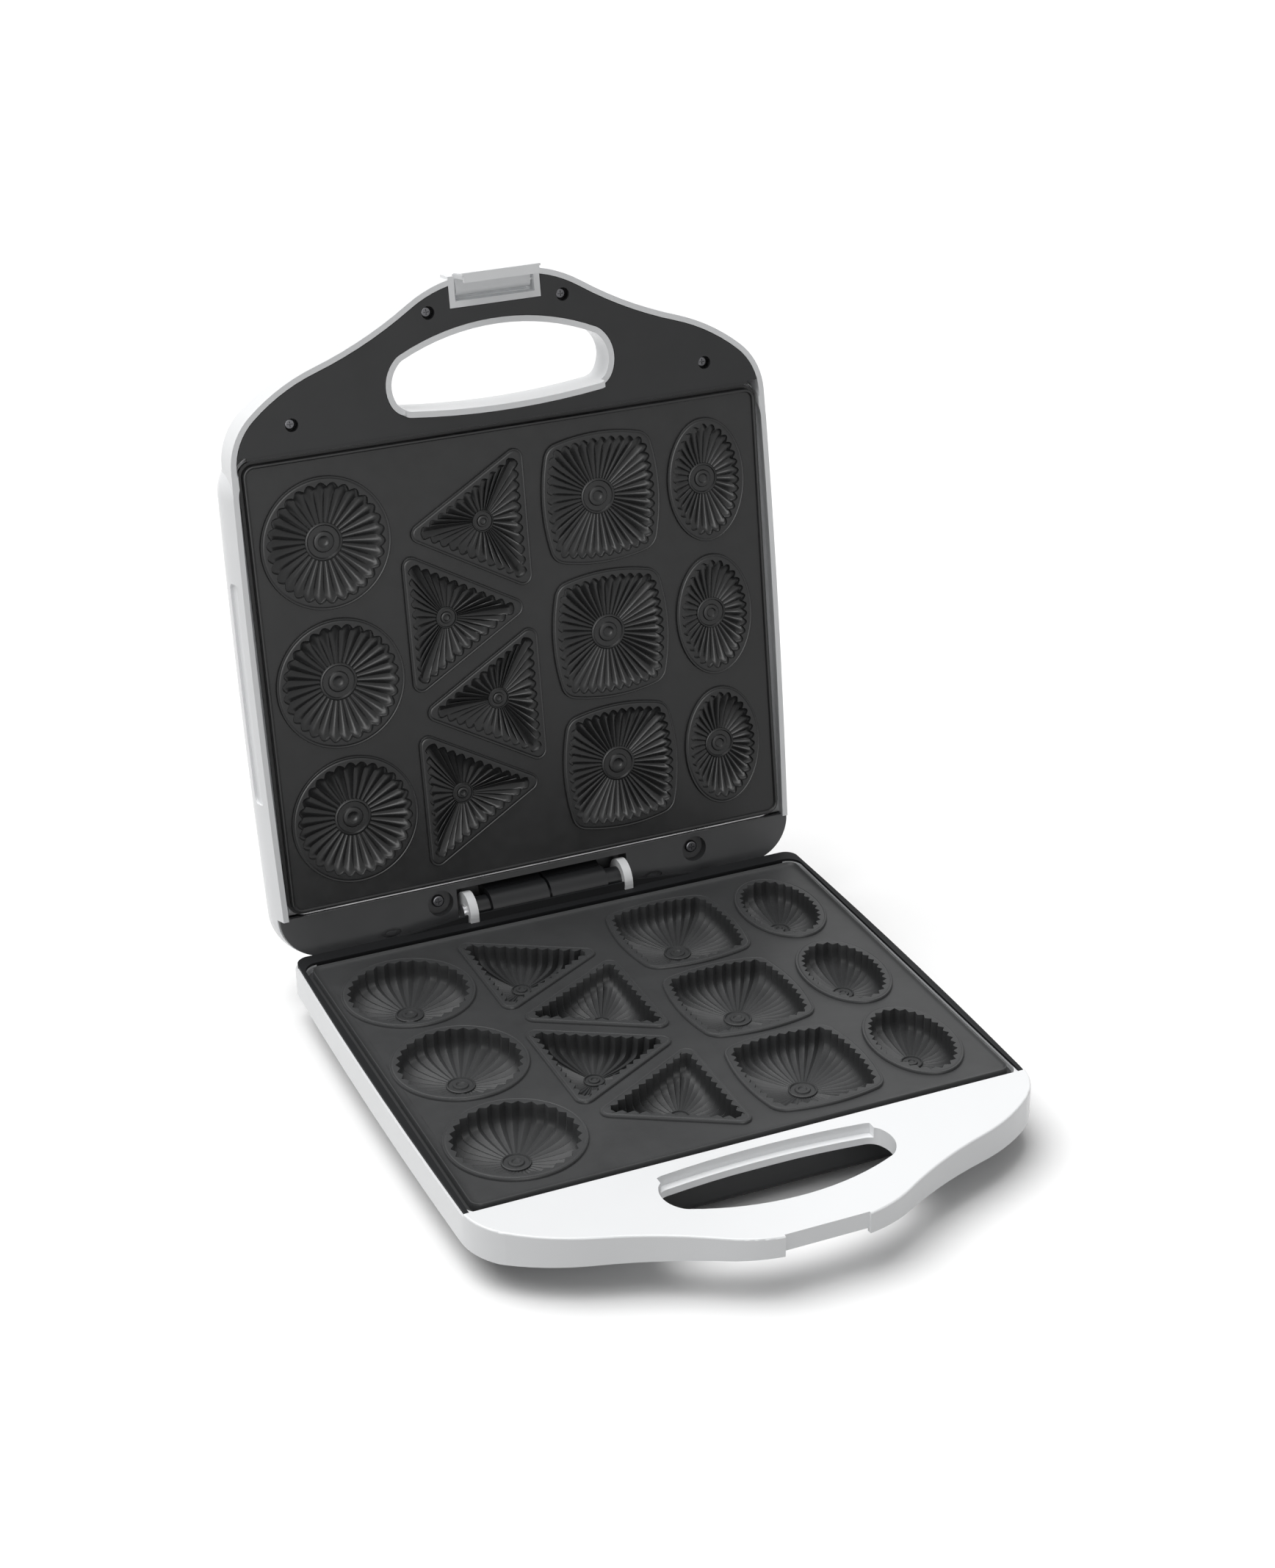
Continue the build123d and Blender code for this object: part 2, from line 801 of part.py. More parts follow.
# Dark border at the sides and the rear of the lower plate, with a rib in front of the barrels
with BuildPart() as base_border:
    with BuildSketch(base_frame.offset(border_top)):
        add(border_face(border_inset))
    extrude(amount=border_side_back - border_top)
    with BuildSketch(base_frame.offset(border_side_back)):
        add(border_face(border_inset))
        add(band_face(base_rear, rear_opening, middle_half_width), mode=Mode.INTERSECT)
    extrude(amount=border_rear_back - border_side_back)
    with BuildSketch(base_frame.offset(-rib_rise)):
        add(band_face(base_notch_front, base_notch_front + rib_width, rib_half_width))
    extrude(amount=rib_rise + border_top)
    with BuildSketch(base_frame.offset(border_top)):
        add(band_face(base_rear - 1, base_notch_front, notch_half_width))
        with GridLocations(ear_inner + ear_outer, 0, 2, 1):
            with Locations((0, ear_seat_front)):
                Rectangle(ear_outer - ear_inner + 2 * seat_gap, 2 * ear_seat_depth)
    extrude(amount=border_rear_back, mode=Mode.SUBTRACT)
    # Low fin from beside each ear along the rear edge
    with BuildSketch(rear_plane.offset(-border_inset)):
        for tip in fin_tips:
            with BuildLine():
                Polyline(
                    (tip, -border_top),
                    (math.copysign(ear_outer + fin_gap, tip), fin_rise),
                    (math.copysign(ear_outer + fin_gap, tip), -fin_foot),
                    (tip, -fin_foot),
                    close=True,
                )
            make_face()
    extrude(amount=-fin_thickness)
base_border.part.label = "base_border"

# Dark tub that closes the base from below
with BuildPart() as bottom_cover:
    with BuildSketch(base_frame.offset(well_wall_level)):
        add(box_face(tub_half_width, tub_front, tub_rear, tub_corner))
    extrude(amount=tub_level - well_wall_level)
    under = [e for e in bottom_cover.edges() if local_level(base_frame, e) > tub_level - 1]
    fillet(under, radius=tub_edge_radius)
    with BuildSketch(base_frame.offset(well_wall_level)):
        add(housing_face(skin + cover_gap))
        add(band_face(base_rear, tub_front, middle_half_width), mode=Mode.INTERSECT)
    extrude(amount=base_wall_level - well_wall_level)
    with BuildSketch(base_frame.offset(well_wall_level)):
        add(
            box_face(
                tub_half_width - tub_wall,
                tub_front - tub_wall,
                tub_rear + tub_wall,
                tub_corner - tub_wall,
            )
        )
    extrude(amount=tub_level - tub_wall - well_wall_level, mode=Mode.SUBTRACT)
    add(
        posts_part(
            base_frame,
            reflector_post_spots,
            lower_reflector_level,
            tub_level - tub_wall,
            reflector_post_radius,
        )
    )
    with BuildSketch(base_frame.offset(well_wall_level)):
        with GridLocations(2 * flange_screw_spot[0], 2 * flange_screw_spot[1], 2, 2):
            Circle(small_screw[2] + screw_clearance)
    extrude(amount=base_wall_level - well_wall_level, mode=Mode.SUBTRACT)
    with BuildSketch(base_frame.offset(tub_level - tub_wall)):
        with GridLocations(2 * foot_spot[0], 2 * foot_spot[1], 2, 2):
            Circle(foot_plug_radius)
    extrude(amount=tub_wall, mode=Mode.SUBTRACT)
bottom_cover.part.label = "bottom_cover"

# Four rubber feet pressed into the tub
with BuildPart() as feet:
    with BuildSketch(base_frame.offset(tub_level)):
        with GridLocations(2 * foot_spot[0], 2 * foot_spot[1], 2, 2):
            Circle(foot_radius)
    extrude(amount=mating_height - tub_level, taper=foot_draft)
    with BuildSketch(base_frame.offset(tub_level - tub_wall)):
        with GridLocations(2 * foot_spot[0], 2 * foot_spot[1], 2, 2):
            Circle(foot_plug_radius)
    extrude(amount=tub_wall)
feet.part.label = "rubber_feet"

# Screws that hold the tub to the base housing, seen from below
flange_spots = [
    (flange_screw_spot[0] * x, flange_screw_spot[1] * y) for x in (-1, 1) for y in (-1, 1)
]


def deep_screws(frame, spots, head_level, size, length):
    """Screws that are driven from the outside towards the mating plane."""
    head_radius, head_height, shank_radius = size
    with BuildPart() as group:
        with BuildSketch(frame.offset(head_level)):
            with Locations(*spots):
                Circle(head_radius)
        extrude(amount=head_height)
        top = [e for e in group.edges() if local_level(frame, e) > head_level + head_height / 2]
        fillet(top, radius=head_height / 2)
        with BuildSketch(frame.offset(head_level)):
            with Locations(*spots):
                Circle(shank_radius)
        extrude(amount=-length)
        with BuildSketch(frame.offset(head_level + head_height / 2)):
            with Locations(*spots):
                Rectangle(head_radius, head_height / 4)
                Rectangle(head_height / 4, head_radius)
        extrude(amount=head_height / 2, mode=Mode.SUBTRACT)
    return group.part


with BuildPart() as base_screws:
    add(deep_screws(base_frame, flange_spots, base_wall_level, small_screw, base_screw_length))
base_screws.part.label = "base_screws"

plate_spots = [
    (plate_screw_spot[0] * x, plate_screw_spot[1] * y) for x in (-1, 1) for y in (-1, 1)
]

# Lower plate, its carrying ring, element, clamps, reflector and controls
lower_plate = plate_part(base_frame, 1, lower_form_depth, lower_bowl_wall, lower_tube_level + tube_radius)
lower_plate.label = "lower_plate"

lower_plate_frame = plate_frame_part(base_frame)
lower_plate_frame.label = "lower_plate_frame"

lower_plate_screws = deep_screws(base_frame, plate_spots, frame_back, large_screw, plate_screw_length)
lower_plate_screws.label = "lower_plate_screws"

lower_element = element_part(base_frame, 1, lower_tube_level)
lower_element.label = "lower_heating_element"

lower_clamps = clamps_part(base_frame, 1, lower_tube_level + tube_radius)
lower_clamps.label = "lower_element_clamps"

lower_clamp_screws = deep_screws(
    base_frame,
    post_spots,
    lower_tube_level + tube_radius + clamp_thickness,
    small_screw,
    lower_clamp_screw_length,
)
lower_clamp_screws.label = "lower_clamp_screws"

lower_reflector = reflector_part(base_frame, 1, lower_reflector_level, lower_reflector_rim, lower_tube_level)
lower_reflector.label = "lower_reflector"

lower_bowl_back = land_level + lower_form_depth + lower_bowl_wall
upper_bowl_back = land_level + upper_form_depth + upper_bowl_wall

with BuildPart() as thermostat:
    with BuildSketch(base_frame.offset(lower_bowl_back)):
        with Locations((square_column, 0)):
            Circle(thermostat_radius)
    extrude(amount=thermostat_height)
    with BuildSketch(base_frame.offset(lower_bowl_back + thermostat_height / 2)):
        for turn in (-1, 1):
            with Locations((square_column + turn * thermostat_radius, 0)):
                Rectangle(4 * blade_size[0], blade_size[1])
    extrude(amount=blade_size[0] / 2)
thermostat.part.label = "thermostat"

with BuildPart() as terminal_block:
    with BuildSketch(base_frame.offset(tub_level - tub_wall)):
        with Locations(terminal_block_spot):
            Rectangle(terminal_block_size[0], terminal_block_size[1])
    extrude(amount=-terminal_block_size[2])
    with BuildSketch(base_frame.offset(tub_level - tub_wall - terminal_block_size[2])):
        with Locations(terminal_block_spot):
            with GridLocations(terminal_block_size[0] / 3, 0, 3, 1):
                Circle(terminal_block_size[1] / 4)
    extrude(amount=terminal_block_size[2] / 2, mode=Mode.SUBTRACT)
terminal_block.part.label = "terminal_block"

# Gland in the rear wall through which the mains cord would enter
with BuildPart() as cord_gland:
    gland_plane = Plane(
        origin=base_frame.from_local_coords((gland_spot[0], base_rear - gland_flange, gland_spot[1])),
        x_dir=(1, 0, 0),
        z_dir=(0, -1, 0),
    )
    with BuildSketch(gland_plane):
        Circle(gland_flange_radius)
    extrude(amount=gland_flange)
    with BuildSketch(gland_plane.offset(gland_flange)):
        Circle(gland_body_radius)
    extrude(amount=skin)
    with BuildSketch(gland_plane.offset(gland_flange + skin)):
        Circle(gland_flange_radius)
    extrude(amount=gland_flange)
    with BuildSketch(gland_plane):
        Circle(gland_bore_radius)
    extrude(amount=2 * gland_flange + skin, mode=Mode.SUBTRACT)
cord_gland.part.label = "cord_gland"

# Hinge pin, its rivet heads and the two collars between barrels and ears
with BuildPart() as hinge_pin:
    with BuildSketch(side_of(base_frame, -ear_outer)):
        with Locations((-hinge_rear, -hinge_rise)):
            Circle(hinge_pin_radius)
    extrude(amount=2 * ear_outer)
    for end in (-ear_outer - rivet_height, ear_outer):
        with BuildSketch(side_of(base_frame, end)):
            with Locations((-hinge_rear, -hinge_rise)):
                Circle(rivet_radius)
        extrude(amount=rivet_height)
hinge_pin.part.label = "hinge_pin"

with BuildPart() as hinge_bushings:
    for end in (-ear_inner, bushing_inner):
        with BuildSketch(side_of(base_frame, end)):
            with Locations((-hinge_rear, -hinge_rise)):
                Circle(bushing_radius)
                Circle(hinge_pin_radius, mode=Mode.SUBTRACT)
        extrude(amount=ear_inner - bushing_inner)
hinge_bushings.part.label = "hinge_bushings"


# Hollows of the lid: inside the handle and inside the raised body
with BuildPart() as handle_hollow:
    with BuildSketch(lid_frame.offset(rim_level)):
        add(housing_face(skin))
        add(band_face(handle_overlap, nose_front, middle_half_width), mode=Mode.INTERSECT)
    extrude(amount=base_wall_level - rim_level)
    add(outside_handle(lid_frame.offset(-skin)), mode=Mode.SUBTRACT)

with BuildPart() as body_hollow:
    for level, grow in lid_sections:
        with BuildSketch(lid_frame.offset(min(level, lid_level - skin))):
            add(body_face(grow - skin))
    loft(ruled=True)

with BuildPart() as raised_body:
    for level, grow in lid_sections:
        with BuildSketch(lid_frame.offset(level)):
            add(body_face(grow))
    loft()

# Shallow long recess in each side of the raised body
with BuildPart() as groove_floor:
    for level, grow in lid_sections:
        with BuildSketch(lid_frame.offset(level)):
            add(body_face(grow - groove_depth))
    loft(ruled=True)
with BuildPart() as side_grooves:
    with BuildSketch(side_of(lid_frame)):
        with Locations((0, (groove_levels[0] + groove_levels[1]) / 2)):
            RectangleRounded(2 * groove_half_length, groove_levels[1] - groove_levels[0], groove_corner)
    extrude(amount=middle_half_width + opening_corner, both=True)
    add(groove_floor.part, mode=Mode.SUBTRACT)

# Lid housing: handle with its collar, lip, latch pocket and screw posts, and the raised body
with BuildPart() as lid_housing:
    with BuildSketch(lid_frame.offset(rim_level)):
        add(housing_face())
        add(band_face(handle_overlap, nose_front, middle_half_width), mode=Mode.INTERSECT)
    extrude(amount=base_wall_level - rim_level)
    add(handle_hollow.part, mode=Mode.SUBTRACT)
    with BuildSketch(lid_frame.offset(rim_level)):
        add(hole_face(lid_collar))
        add(band_face(pocket_rear - pocket_wall, nose_front, pocket_half_width + pocket_wall))
    extrude(amount=base_wall_level - rim_level)
    add(posts_part(lid_frame, handle_screw_spots, handle_cup_level, base_wall_level, screw_post_radius))
    add(outside_handle(lid_frame), mode=Mode.SUBTRACT)
    with BuildSketch(lid_frame.offset(-lip_rise)):
        add(hole_face(lid_collar))
        add(band_face(hole_rear - 2 * lid_collar, lip_front, lip_half_width), mode=Mode.INTERSECT)
    extrude(amount=lip_rise + rim_level)
    with BuildSketch(lid_frame.offset(-lip_rise)):
        add(hole_face())
    extrude(amount=lip_rise + base_wall_level, mode=Mode.SUBTRACT)
    with BuildSketch(lid_frame):
        add(band_face(pocket_rear, nose_front + 1, pocket_half_width))
    extrude(amount=pocket_floor, mode=Mode.SUBTRACT)
    with BuildSketch(lid_frame):
        add(band_face(pocket_open, nose_front + 1, pocket_half_width))
    extrude(amount=base_wall_level, mode=Mode.SUBTRACT)
    with BuildSketch(side_of(lid_frame)):
        with Locations(latch_pivot):
            Circle(latch_pin_radius)
    extrude(amount=pocket_half_width + pocket_wall, both=True, mode=Mode.SUBTRACT)
    with BuildSketch(lid_frame.offset(handle_cup_level)):
        with Locations(*handle_screw_spots):
            Circle(small_screw[2] + screw_clearance)
    extrude(amount=screw_post_depth, mode=Mode.SUBTRACT)
    add(raised_body.part)
    add(body_hollow.part, mode=Mode.SUBTRACT)
    add(side_grooves.part, mode=Mode.SUBTRACT)
    # Well for the plate, ledge that carries the plate frame, and the cut behind the cover's edge
    with BuildSketch(lid_frame.offset(rim_level)):
        add(box_face(side_opening, front_opening, rear_opening, opening_corner))
    extrude(amount=frame_back - rim_level, mode=Mode.SUBTRACT)
    with BuildSketch(lid_frame.offset(rim_level)):
        add(band_face(front_opening - opening_corner, lid_well_cut, side_opening - 1))
    extrude(amount=skirt_level - rim_level, mode=Mode.SUBTRACT)
    with BuildSketch(lid_frame.offset(frame_back)):
        add(ledge_face(0))
    extrude(amount=ledge_back - frame_back)
    # Seat of the dark rear cover and room for the pocket that the cover has round the hinge
    with BuildSketch(lid_frame):
        add(band_face(2 * lid_rear, rear_opening, 2 * middle_half_width))
    extrude(amount=rear_cover_back, mode=Mode.SUBTRACT)
    with BuildSketch(lid_frame):
        add(
            band_face(
                2 * lid_rear,
                lid_notch_front + notch_wall + seat_gap,
                notch_half_width + notch_wall + seat_gap,
            )
        )
    extrude(amount=lid_notch_level + notch_wall + seat_gap, mode=Mode.SUBTRACT)
    # Posts for the rear cover's screws, the reflector and the lamp holder
    add(posts_part(lid_frame, rear_screw_spots, rear_cup_level, lid_level - skin, screw_post_radius))
    with BuildSketch(lid_frame.offset(rear_cup_level)):
        with Locations(*rear_screw_spots):
            Circle(large_screw[2] + screw_clearance)
    extrude(amount=lid_level - 2 * skin - rear_cup_level, mode=Mode.SUBTRACT)
    add(
        posts_part(
            lid_frame,
            reflector_post_spots,
            upper_reflector_level,
            lid_level - skin,
            reflector_post_radius,
        )
    )
    lamp_posts = [(x, lens_spots[0][1]) for x in (-holder_post_x, holder_post_x)]
    add(posts_part(lid_frame, lamp_posts, lid_level - skin - holder_size[2], lid_level - skin, holder_post_radius))
    with BuildSketch(lid_frame.offset(lid_level - 2 * skin)):
        with Locations(*lens_spots):
            Circle(lens_radius)
    extrude(amount=2 * skin, mode=Mode.SUBTRACT)
lid_housing.part.label = "lid_housing"

# Black cover of the lid's handle, with its screw wells and the flange under the plate
handle_cup_walls, handle_cup_hollows = cups_part(
    lid_frame, handle_screw_spots, rim_level, handle_cup_level, handle_cup_radius, small_screw[2] + screw_clearance
)
with BuildPart() as lid_handle_cover:
    with BuildSketch(lid_frame.offset(rim_level)):
        add(housing_face(skin + cover_gap))
        add(band_face(handle_cover_rear, nose_front, middle_half_width), mode=Mode.INTERSECT)
        add(hole_face(lid_collar + cover_gap), mode=Mode.SUBTRACT)
        add(
            band_face(
                pocket_rear - pocket_wall - cover_gap,
                nose_front,
                pocket_half_width + pocket_wall + cover_gap,
            ),
            mode=Mode.SUBTRACT,
        )
    extrude(amount=cover_thickness)
    with BuildSketch(lid_frame.offset(rim_level + cover_thickness / 2)):
        add(band_face(flange_front, handle_cover_rear, flange_half_width))
    extrude(amount=cover_thickness / 2)
    add(handle_cup_walls)
    add(handle_cup_hollows, mode=Mode.SUBTRACT)
lid_handle_cover.part.label = "lid_handle_cover"

with BuildPart() as cover_screws:
    add(screws(lid_frame, handle_screw_spots, handle_cup_level - cup_floor, small_screw, cup_floor + screw_post_depth))
cover_screws.part.label = "handle_cover_screws"

# Dark rear cover of the lid, with its two screw wells
rear_cup_walls, rear_cup_hollows = cups_part(
    lid_frame, rear_screw_spots, rear_cover_level, rear_cup_level, rear_cup_radius, large_screw[2] + screw_clearance
)
with BuildPart() as lid_rear_cover:
    with BuildSketch(lid_frame.offset(rear_cover_level)):
        add(body_face(rear_cover_growth))
        add(band_face(2 * lid_rear, rear_opening, 2 * middle_half_width), mode=Mode.INTERSECT)
    extrude(amount=rear_cover_back - rear_cover_level)
    with BuildSketch(lid_frame.offset(rear_cover_back)):
        add(band_face(lid_rear, lid_notch_front + notch_wall, notch_half_width + notch_wall))
    extrude(amount=lid_notch_level + notch_wall - rear_cover_back)
    with BuildSketch(lid_frame.offset(rear_cover_level)):
        add(band_face(2 * lid_rear, lid_notch_front, notch_half_width))
    extrude(amount=lid_notch_level - rear_cover_level, mode=Mode.SUBTRACT)
    # Slot for the hinge arms
    with BuildSketch(lid_frame.offset(arm_level - slot_gap)):
        add(band_face(lid_notch_front, lid_notch_front + 2 * notch_wall, barrel_outer + slot_gap))
    extrude(amount=arm_thickness + 2 * slot_gap, mode=Mode.SUBTRACT)
    add(rear_cup_walls)
    add(rear_cup_hollows, mode=Mode.SUBTRACT)
    # Oval studs in shallow oval wells
    with BuildSketch(lid_frame.offset(rear_cover_level)):
        with Locations(*stud_spots):
            Ellipse(*stud_well)
            Ellipse(*stud_size, mode=Mode.SUBTRACT)
    extrude(amount=stud_depth, mode=Mode.SUBTRACT)
lid_rear_cover.part.label = "lid_rear_cover"

with BuildPart() as rear_cover_screws:
    add(screws(lid_frame, rear_screw_spots, rear_cup_level - cup_floor, large_screw, rear_screw_length))
rear_cover_screws.part.label = "rear_cover_screws"


def barrel_part(start, end):
    """Hinge barrel with the web and arm that hold it to the lid's ledge."""
    with BuildPart() as barrel:
        with BuildSketch(side_of(lid_frame, start)):
            with Locations((-hinge_rear, hinge_rise)):
                Circle(barrel_radius)
            with BuildLine():
                Polyline(
                    (-hinge_rear, hinge_rise + barrel_radius),
                    (arm_web[2], arm_level + arm_thickness),
                    (arm_front, arm_level + arm_thickness),
                    (arm_front, arm_level),
                    (arm_web[0], arm_level),
                    (arm_web[1], hinge_rise),
                    (-hinge_rear, hinge_rise),
                    close=True,
                )
            make_face()
            with Locations((-hinge_rear, hinge_rise)):
                Circle(hinge_pin_radius + running_gap, mode=Mode.SUBTRACT)
        extrude(amount=end - start)
    return barrel.part


# Two hinge barrels that turn on the pin with the lid
left_barrel = barrel_part(barrel_inner, barrel_outer)
left_barrel.label = "hinge_barrel_left"
right_barrel = barrel_part(-barrel_outer, -barrel_inner)
right_barrel.label = "hinge_barrel_right"

# Upper plate, its carrying ring, element, clamps, reflector and thermal fuse
upper_plate = plate_part(lid_frame, -1, upper_form_depth, upper_bowl_wall, upper_tube_level + tube_radius)
upper_plate.label = "upper_plate"

upper_plate_frame = plate_frame_part(lid_frame)
upper_plate_frame.label = "upper_plate_frame"

upper_plate_screws = deep_screws(lid_frame, plate_spots, frame_back, large_screw, plate_screw_length)
upper_plate_screws.label = "upper_plate_screws"

upper_element = element_part(lid_frame, -1, upper_tube_level)
upper_element.label = "upper_heating_element"

upper_clamps = clamps_part(lid_frame, -1, upper_tube_level + tube_radius)
upper_clamps.label = "upper_element_clamps"

upper_post_spots = [(-x, y) for x, y in post_spots]
upper_clamp_screws = deep_screws(
    lid_frame,
    upper_post_spots,
    upper_tube_level + tube_radius + clamp_thickness,
    small_screw,
    upper_clamp_screw_length,
)
upper_clamp_screws.label = "upper_clamp_screws"

upper_reflector = reflector_part(lid_frame, -1, upper_reflector_level, upper_reflector_rim, upper_tube_level)
upper_reflector.label = "upper_reflector"

with BuildPart() as thermal_fuse:
    with BuildSketch(side_of(lid_frame, -square_column - fuse_length / 2)):
        with Locations((0, upper_bowl_back + fuse_radius)):
            Circle(fuse_radius)
    extrude(amount=fuse_length)
thermal_fuse.part.label = "thermal_fuse"

# Two lamp lenses in the lid's outer face and the holder of the lamps behind them
with BuildPart() as lamp_lenses:
    with BuildSketch(lid_frame.offset(lid_level - skin - 1)):
        with Locations(*lens_spots):
            Circle(lens_flange_radius)
    extrude(amount=1)
    with BuildSketch(lid_frame.offset(lid_level - skin)):
        with Locations(*lens_spots):
            Circle(lens_radius)
    extrude(amount=skin + lens_rise)
    tops = [e for e in lamp_lenses.edges() if local_level(lid_frame, e) > lid_level + lens_rise / 2]
    fillet(tops, radius=lens_rise)
lamp_lenses.part.label = "indicator_lenses"

with BuildPart() as lamp_holder:
    with BuildSketch(lid_frame.offset(lid_level - skin - 1 - holder_size[2])):
        with Locations((0, lens_spots[0][1])):
            Rectangle(holder_size[0], holder_size[1])
    extrude(amount=holder_size[2])
    with BuildSketch(lid_frame.offset(lid_level - skin - 1 - holder_size[2])):
        with Locations((0, lens_spots[0][1])):
            SlotOverall(2 * (holder_post_x + holder_post_radius), 2 * holder_post_radius)
    extrude(amount=1)
lamp_holder.part.label = "lamp_holder"

# Latch clip, drawn about its pin and swung out to where it rests when the lid is open
swing = math.radians(latch_rest_angle)
latch_middle = lid_frame.from_local_coords((0, *latch_pivot))
latch_plane = Plane(
    origin=latch_middle,
    x_dir=lid_frame.y_dir * math.cos(swing) + lid_frame.z_dir * math.sin(swing),
    z_dir=lid_frame.x_dir,
)
clip_outer = latch_wall_outer - latch_pivot[0]
clip_inner = latch_wall_inner - latch_pivot[0]
clip_hook = hook_inner - latch_pivot[0]
clip_hook_top = hook_level - latch_pivot[1]
clip_end = clip_hook_top - hook_thickness
with BuildPart() as latch_clip:
    with BuildSketch(latch_plane):
        with BuildLine():
            ThreePointArc((0, latch_hub_radius), latch_crown, (clip_outer, latch_shoulder))
            Polyline(
                (clip_outer, latch_shoulder),
                (clip_outer, latch_groove + groove_half),
                (clip_outer - groove_half, latch_groove),
                (clip_outer, latch_groove - groove_half),
                (clip_outer, clip_end),
                (clip_hook, clip_end),
                (clip_hook, clip_hook_top),
                (clip_inner, clip_hook_top),
                (clip_inner, latch_web),
                (0, -latch_hub_radius),
            )
            ThreePointArc((0, -latch_hub_radius), (-latch_hub_radius, 0), (0, latch_hub_radius))
        make_face()
        Circle(latch_pin_radius + running_gap, mode=Mode.SUBTRACT)
    extrude(amount=latch_half_width, both=True)
    with BuildSketch(latch_plane):
        with Locations((clip_outer, clip_end + hook_thickness / 2)):
            Rectangle(2 * latch_ridge, hook_thickness)
    extrude(amount=latch_lip_half_width, both=True)
latch_clip.part.label = "latch_clip"

with BuildPart() as latch_pin:
    with BuildSketch(side_of(lid_frame, -pocket_half_width - pocket_wall)):
        with Locations(latch_pivot):
            Circle(latch_pin_radius)
    extrude(amount=2 * (pocket_half_width + pocket_wall))
latch_pin.part.label = "latch_pin"

os.makedirs("parts", exist_ok=True)
for piece in (
    base_housing.part,
    base_border.part,
    bottom_cover.part,
    feet.part,
    base_screws.part,
    lower_plate,
    lower_plate_frame,
    lower_plate_screws,
    lower_element,
    lower_clamps,
    lower_clamp_screws,
    lower_reflector,
    thermostat.part,
    terminal_block.part,
    cord_gland.part,
    hinge_pin.part,
    hinge_bushings.part,
    lid_housing.part,
    lid_handle_cover.part,
    cover_screws.part,
    lid_rear_cover.part,
    rear_cover_screws.part,
    left_barrel,
    right_barrel,
    upper_plate,
    upper_plate_frame,
    upper_plate_screws,
    upper_element,
    upper_clamps,
    upper_clamp_screws,
    upper_reflector,
    thermal_fuse.part,
    lamp_lenses.part,
    lamp_holder.part,
    latch_clip.part,
    latch_pin.part,
):
    export_step(piece, f"parts/{piece.label}.step")
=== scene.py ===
"""Dresses the solid model of an open biscuit maker with cast plates, finishes and a studio."""

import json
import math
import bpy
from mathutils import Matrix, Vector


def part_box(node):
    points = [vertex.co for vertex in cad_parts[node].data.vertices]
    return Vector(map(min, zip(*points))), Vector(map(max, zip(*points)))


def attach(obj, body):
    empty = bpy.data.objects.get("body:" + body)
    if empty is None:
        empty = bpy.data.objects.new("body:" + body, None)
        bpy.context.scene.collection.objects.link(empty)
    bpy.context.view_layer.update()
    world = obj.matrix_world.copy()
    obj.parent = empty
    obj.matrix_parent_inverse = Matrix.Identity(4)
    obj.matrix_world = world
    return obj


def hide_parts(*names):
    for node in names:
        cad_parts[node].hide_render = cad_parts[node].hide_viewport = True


bl_info = {
    "name": "Biscuit maker",
    "version": (1, 0, 0),
    "blender": (4, 5, 0),
    "location": "View3D > Sidebar > Biscuit maker",
    "description": "Cast baking plates, finishes and a studio for the biscuit maker's solid model",
    "category": "Object",
}

import bmesh
import bpy
from bpy.props import FloatProperty, FloatVectorProperty, IntProperty, PointerProperty
from mathutils import Euler, Matrix, Vector

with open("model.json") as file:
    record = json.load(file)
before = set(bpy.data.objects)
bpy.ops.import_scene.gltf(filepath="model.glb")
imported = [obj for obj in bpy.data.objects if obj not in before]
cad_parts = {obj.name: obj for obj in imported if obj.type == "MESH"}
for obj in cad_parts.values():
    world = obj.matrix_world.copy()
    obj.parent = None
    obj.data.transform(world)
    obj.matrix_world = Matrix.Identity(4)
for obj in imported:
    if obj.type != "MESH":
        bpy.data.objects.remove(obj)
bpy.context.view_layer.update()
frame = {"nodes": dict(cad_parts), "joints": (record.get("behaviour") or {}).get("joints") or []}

MM = 0.001
LID_HINGE = next(joint for joint in frame["joints"] if joint["name"] == "lid_hinge")
PLATE_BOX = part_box("lower_plate")
PLATE_SIZE = PLATE_BOX[1] - PLATE_BOX[0]
PLATE_MIDDLE = (PLATE_BOX[0] + PLATE_BOX[1]) / 2

# Levels of a plate, measured from the plane where the two closed halves meet
LAND_LEVEL = 0.2 * MM
PLATE_BACK = 4.4 * MM
SKIRT_LEVEL = 5.4 * MM
SKIRT_WIDTH = 4 * MM
PLATE_CORNER = 6.5 * MM

# Where each column of forms stands on the lower plate, and the rows of the triangles
CIRCLE_COLUMN = -86.4 * MM
SQUARE_COLUMN = 41.8 * MM
OVAL_COLUMN = 93.2 * MM
LEFT_TRIANGLE_COLUMN = -13.3 * MM
RIGHT_TRIANGLE_COLUMN = -34.2 * MM
TRIANGLE_ROWS = (60.3 * MM, 19.9 * MM, -21.3 * MM, -62.1 * MM)

POINTS_PER_FLUTE = 6
POINTS_PER_BACK = 60
FLUTES = {"circle": 30, "square": 40, "oval": 30, "triangle": 33}
LOWER_DISC_RADII = {"circle": 6.3 * MM, "square": 6.2 * MM, "oval": 4.8 * MM, "triangle": 4.6 * MM}
UPPER_DISC_RADII = {"circle": 8.6 * MM, "square": 8.2 * MM, "oval": 7.2 * MM, "triangle": 5.0 * MM}

# How sharp the teeth are at the edge of the lower forms, 1 being straight-sided
TOOTH_POWER = 1.2

# How much less a square's corner point moves in than its side when the outline is inset
CORNER_LAG = 0.2

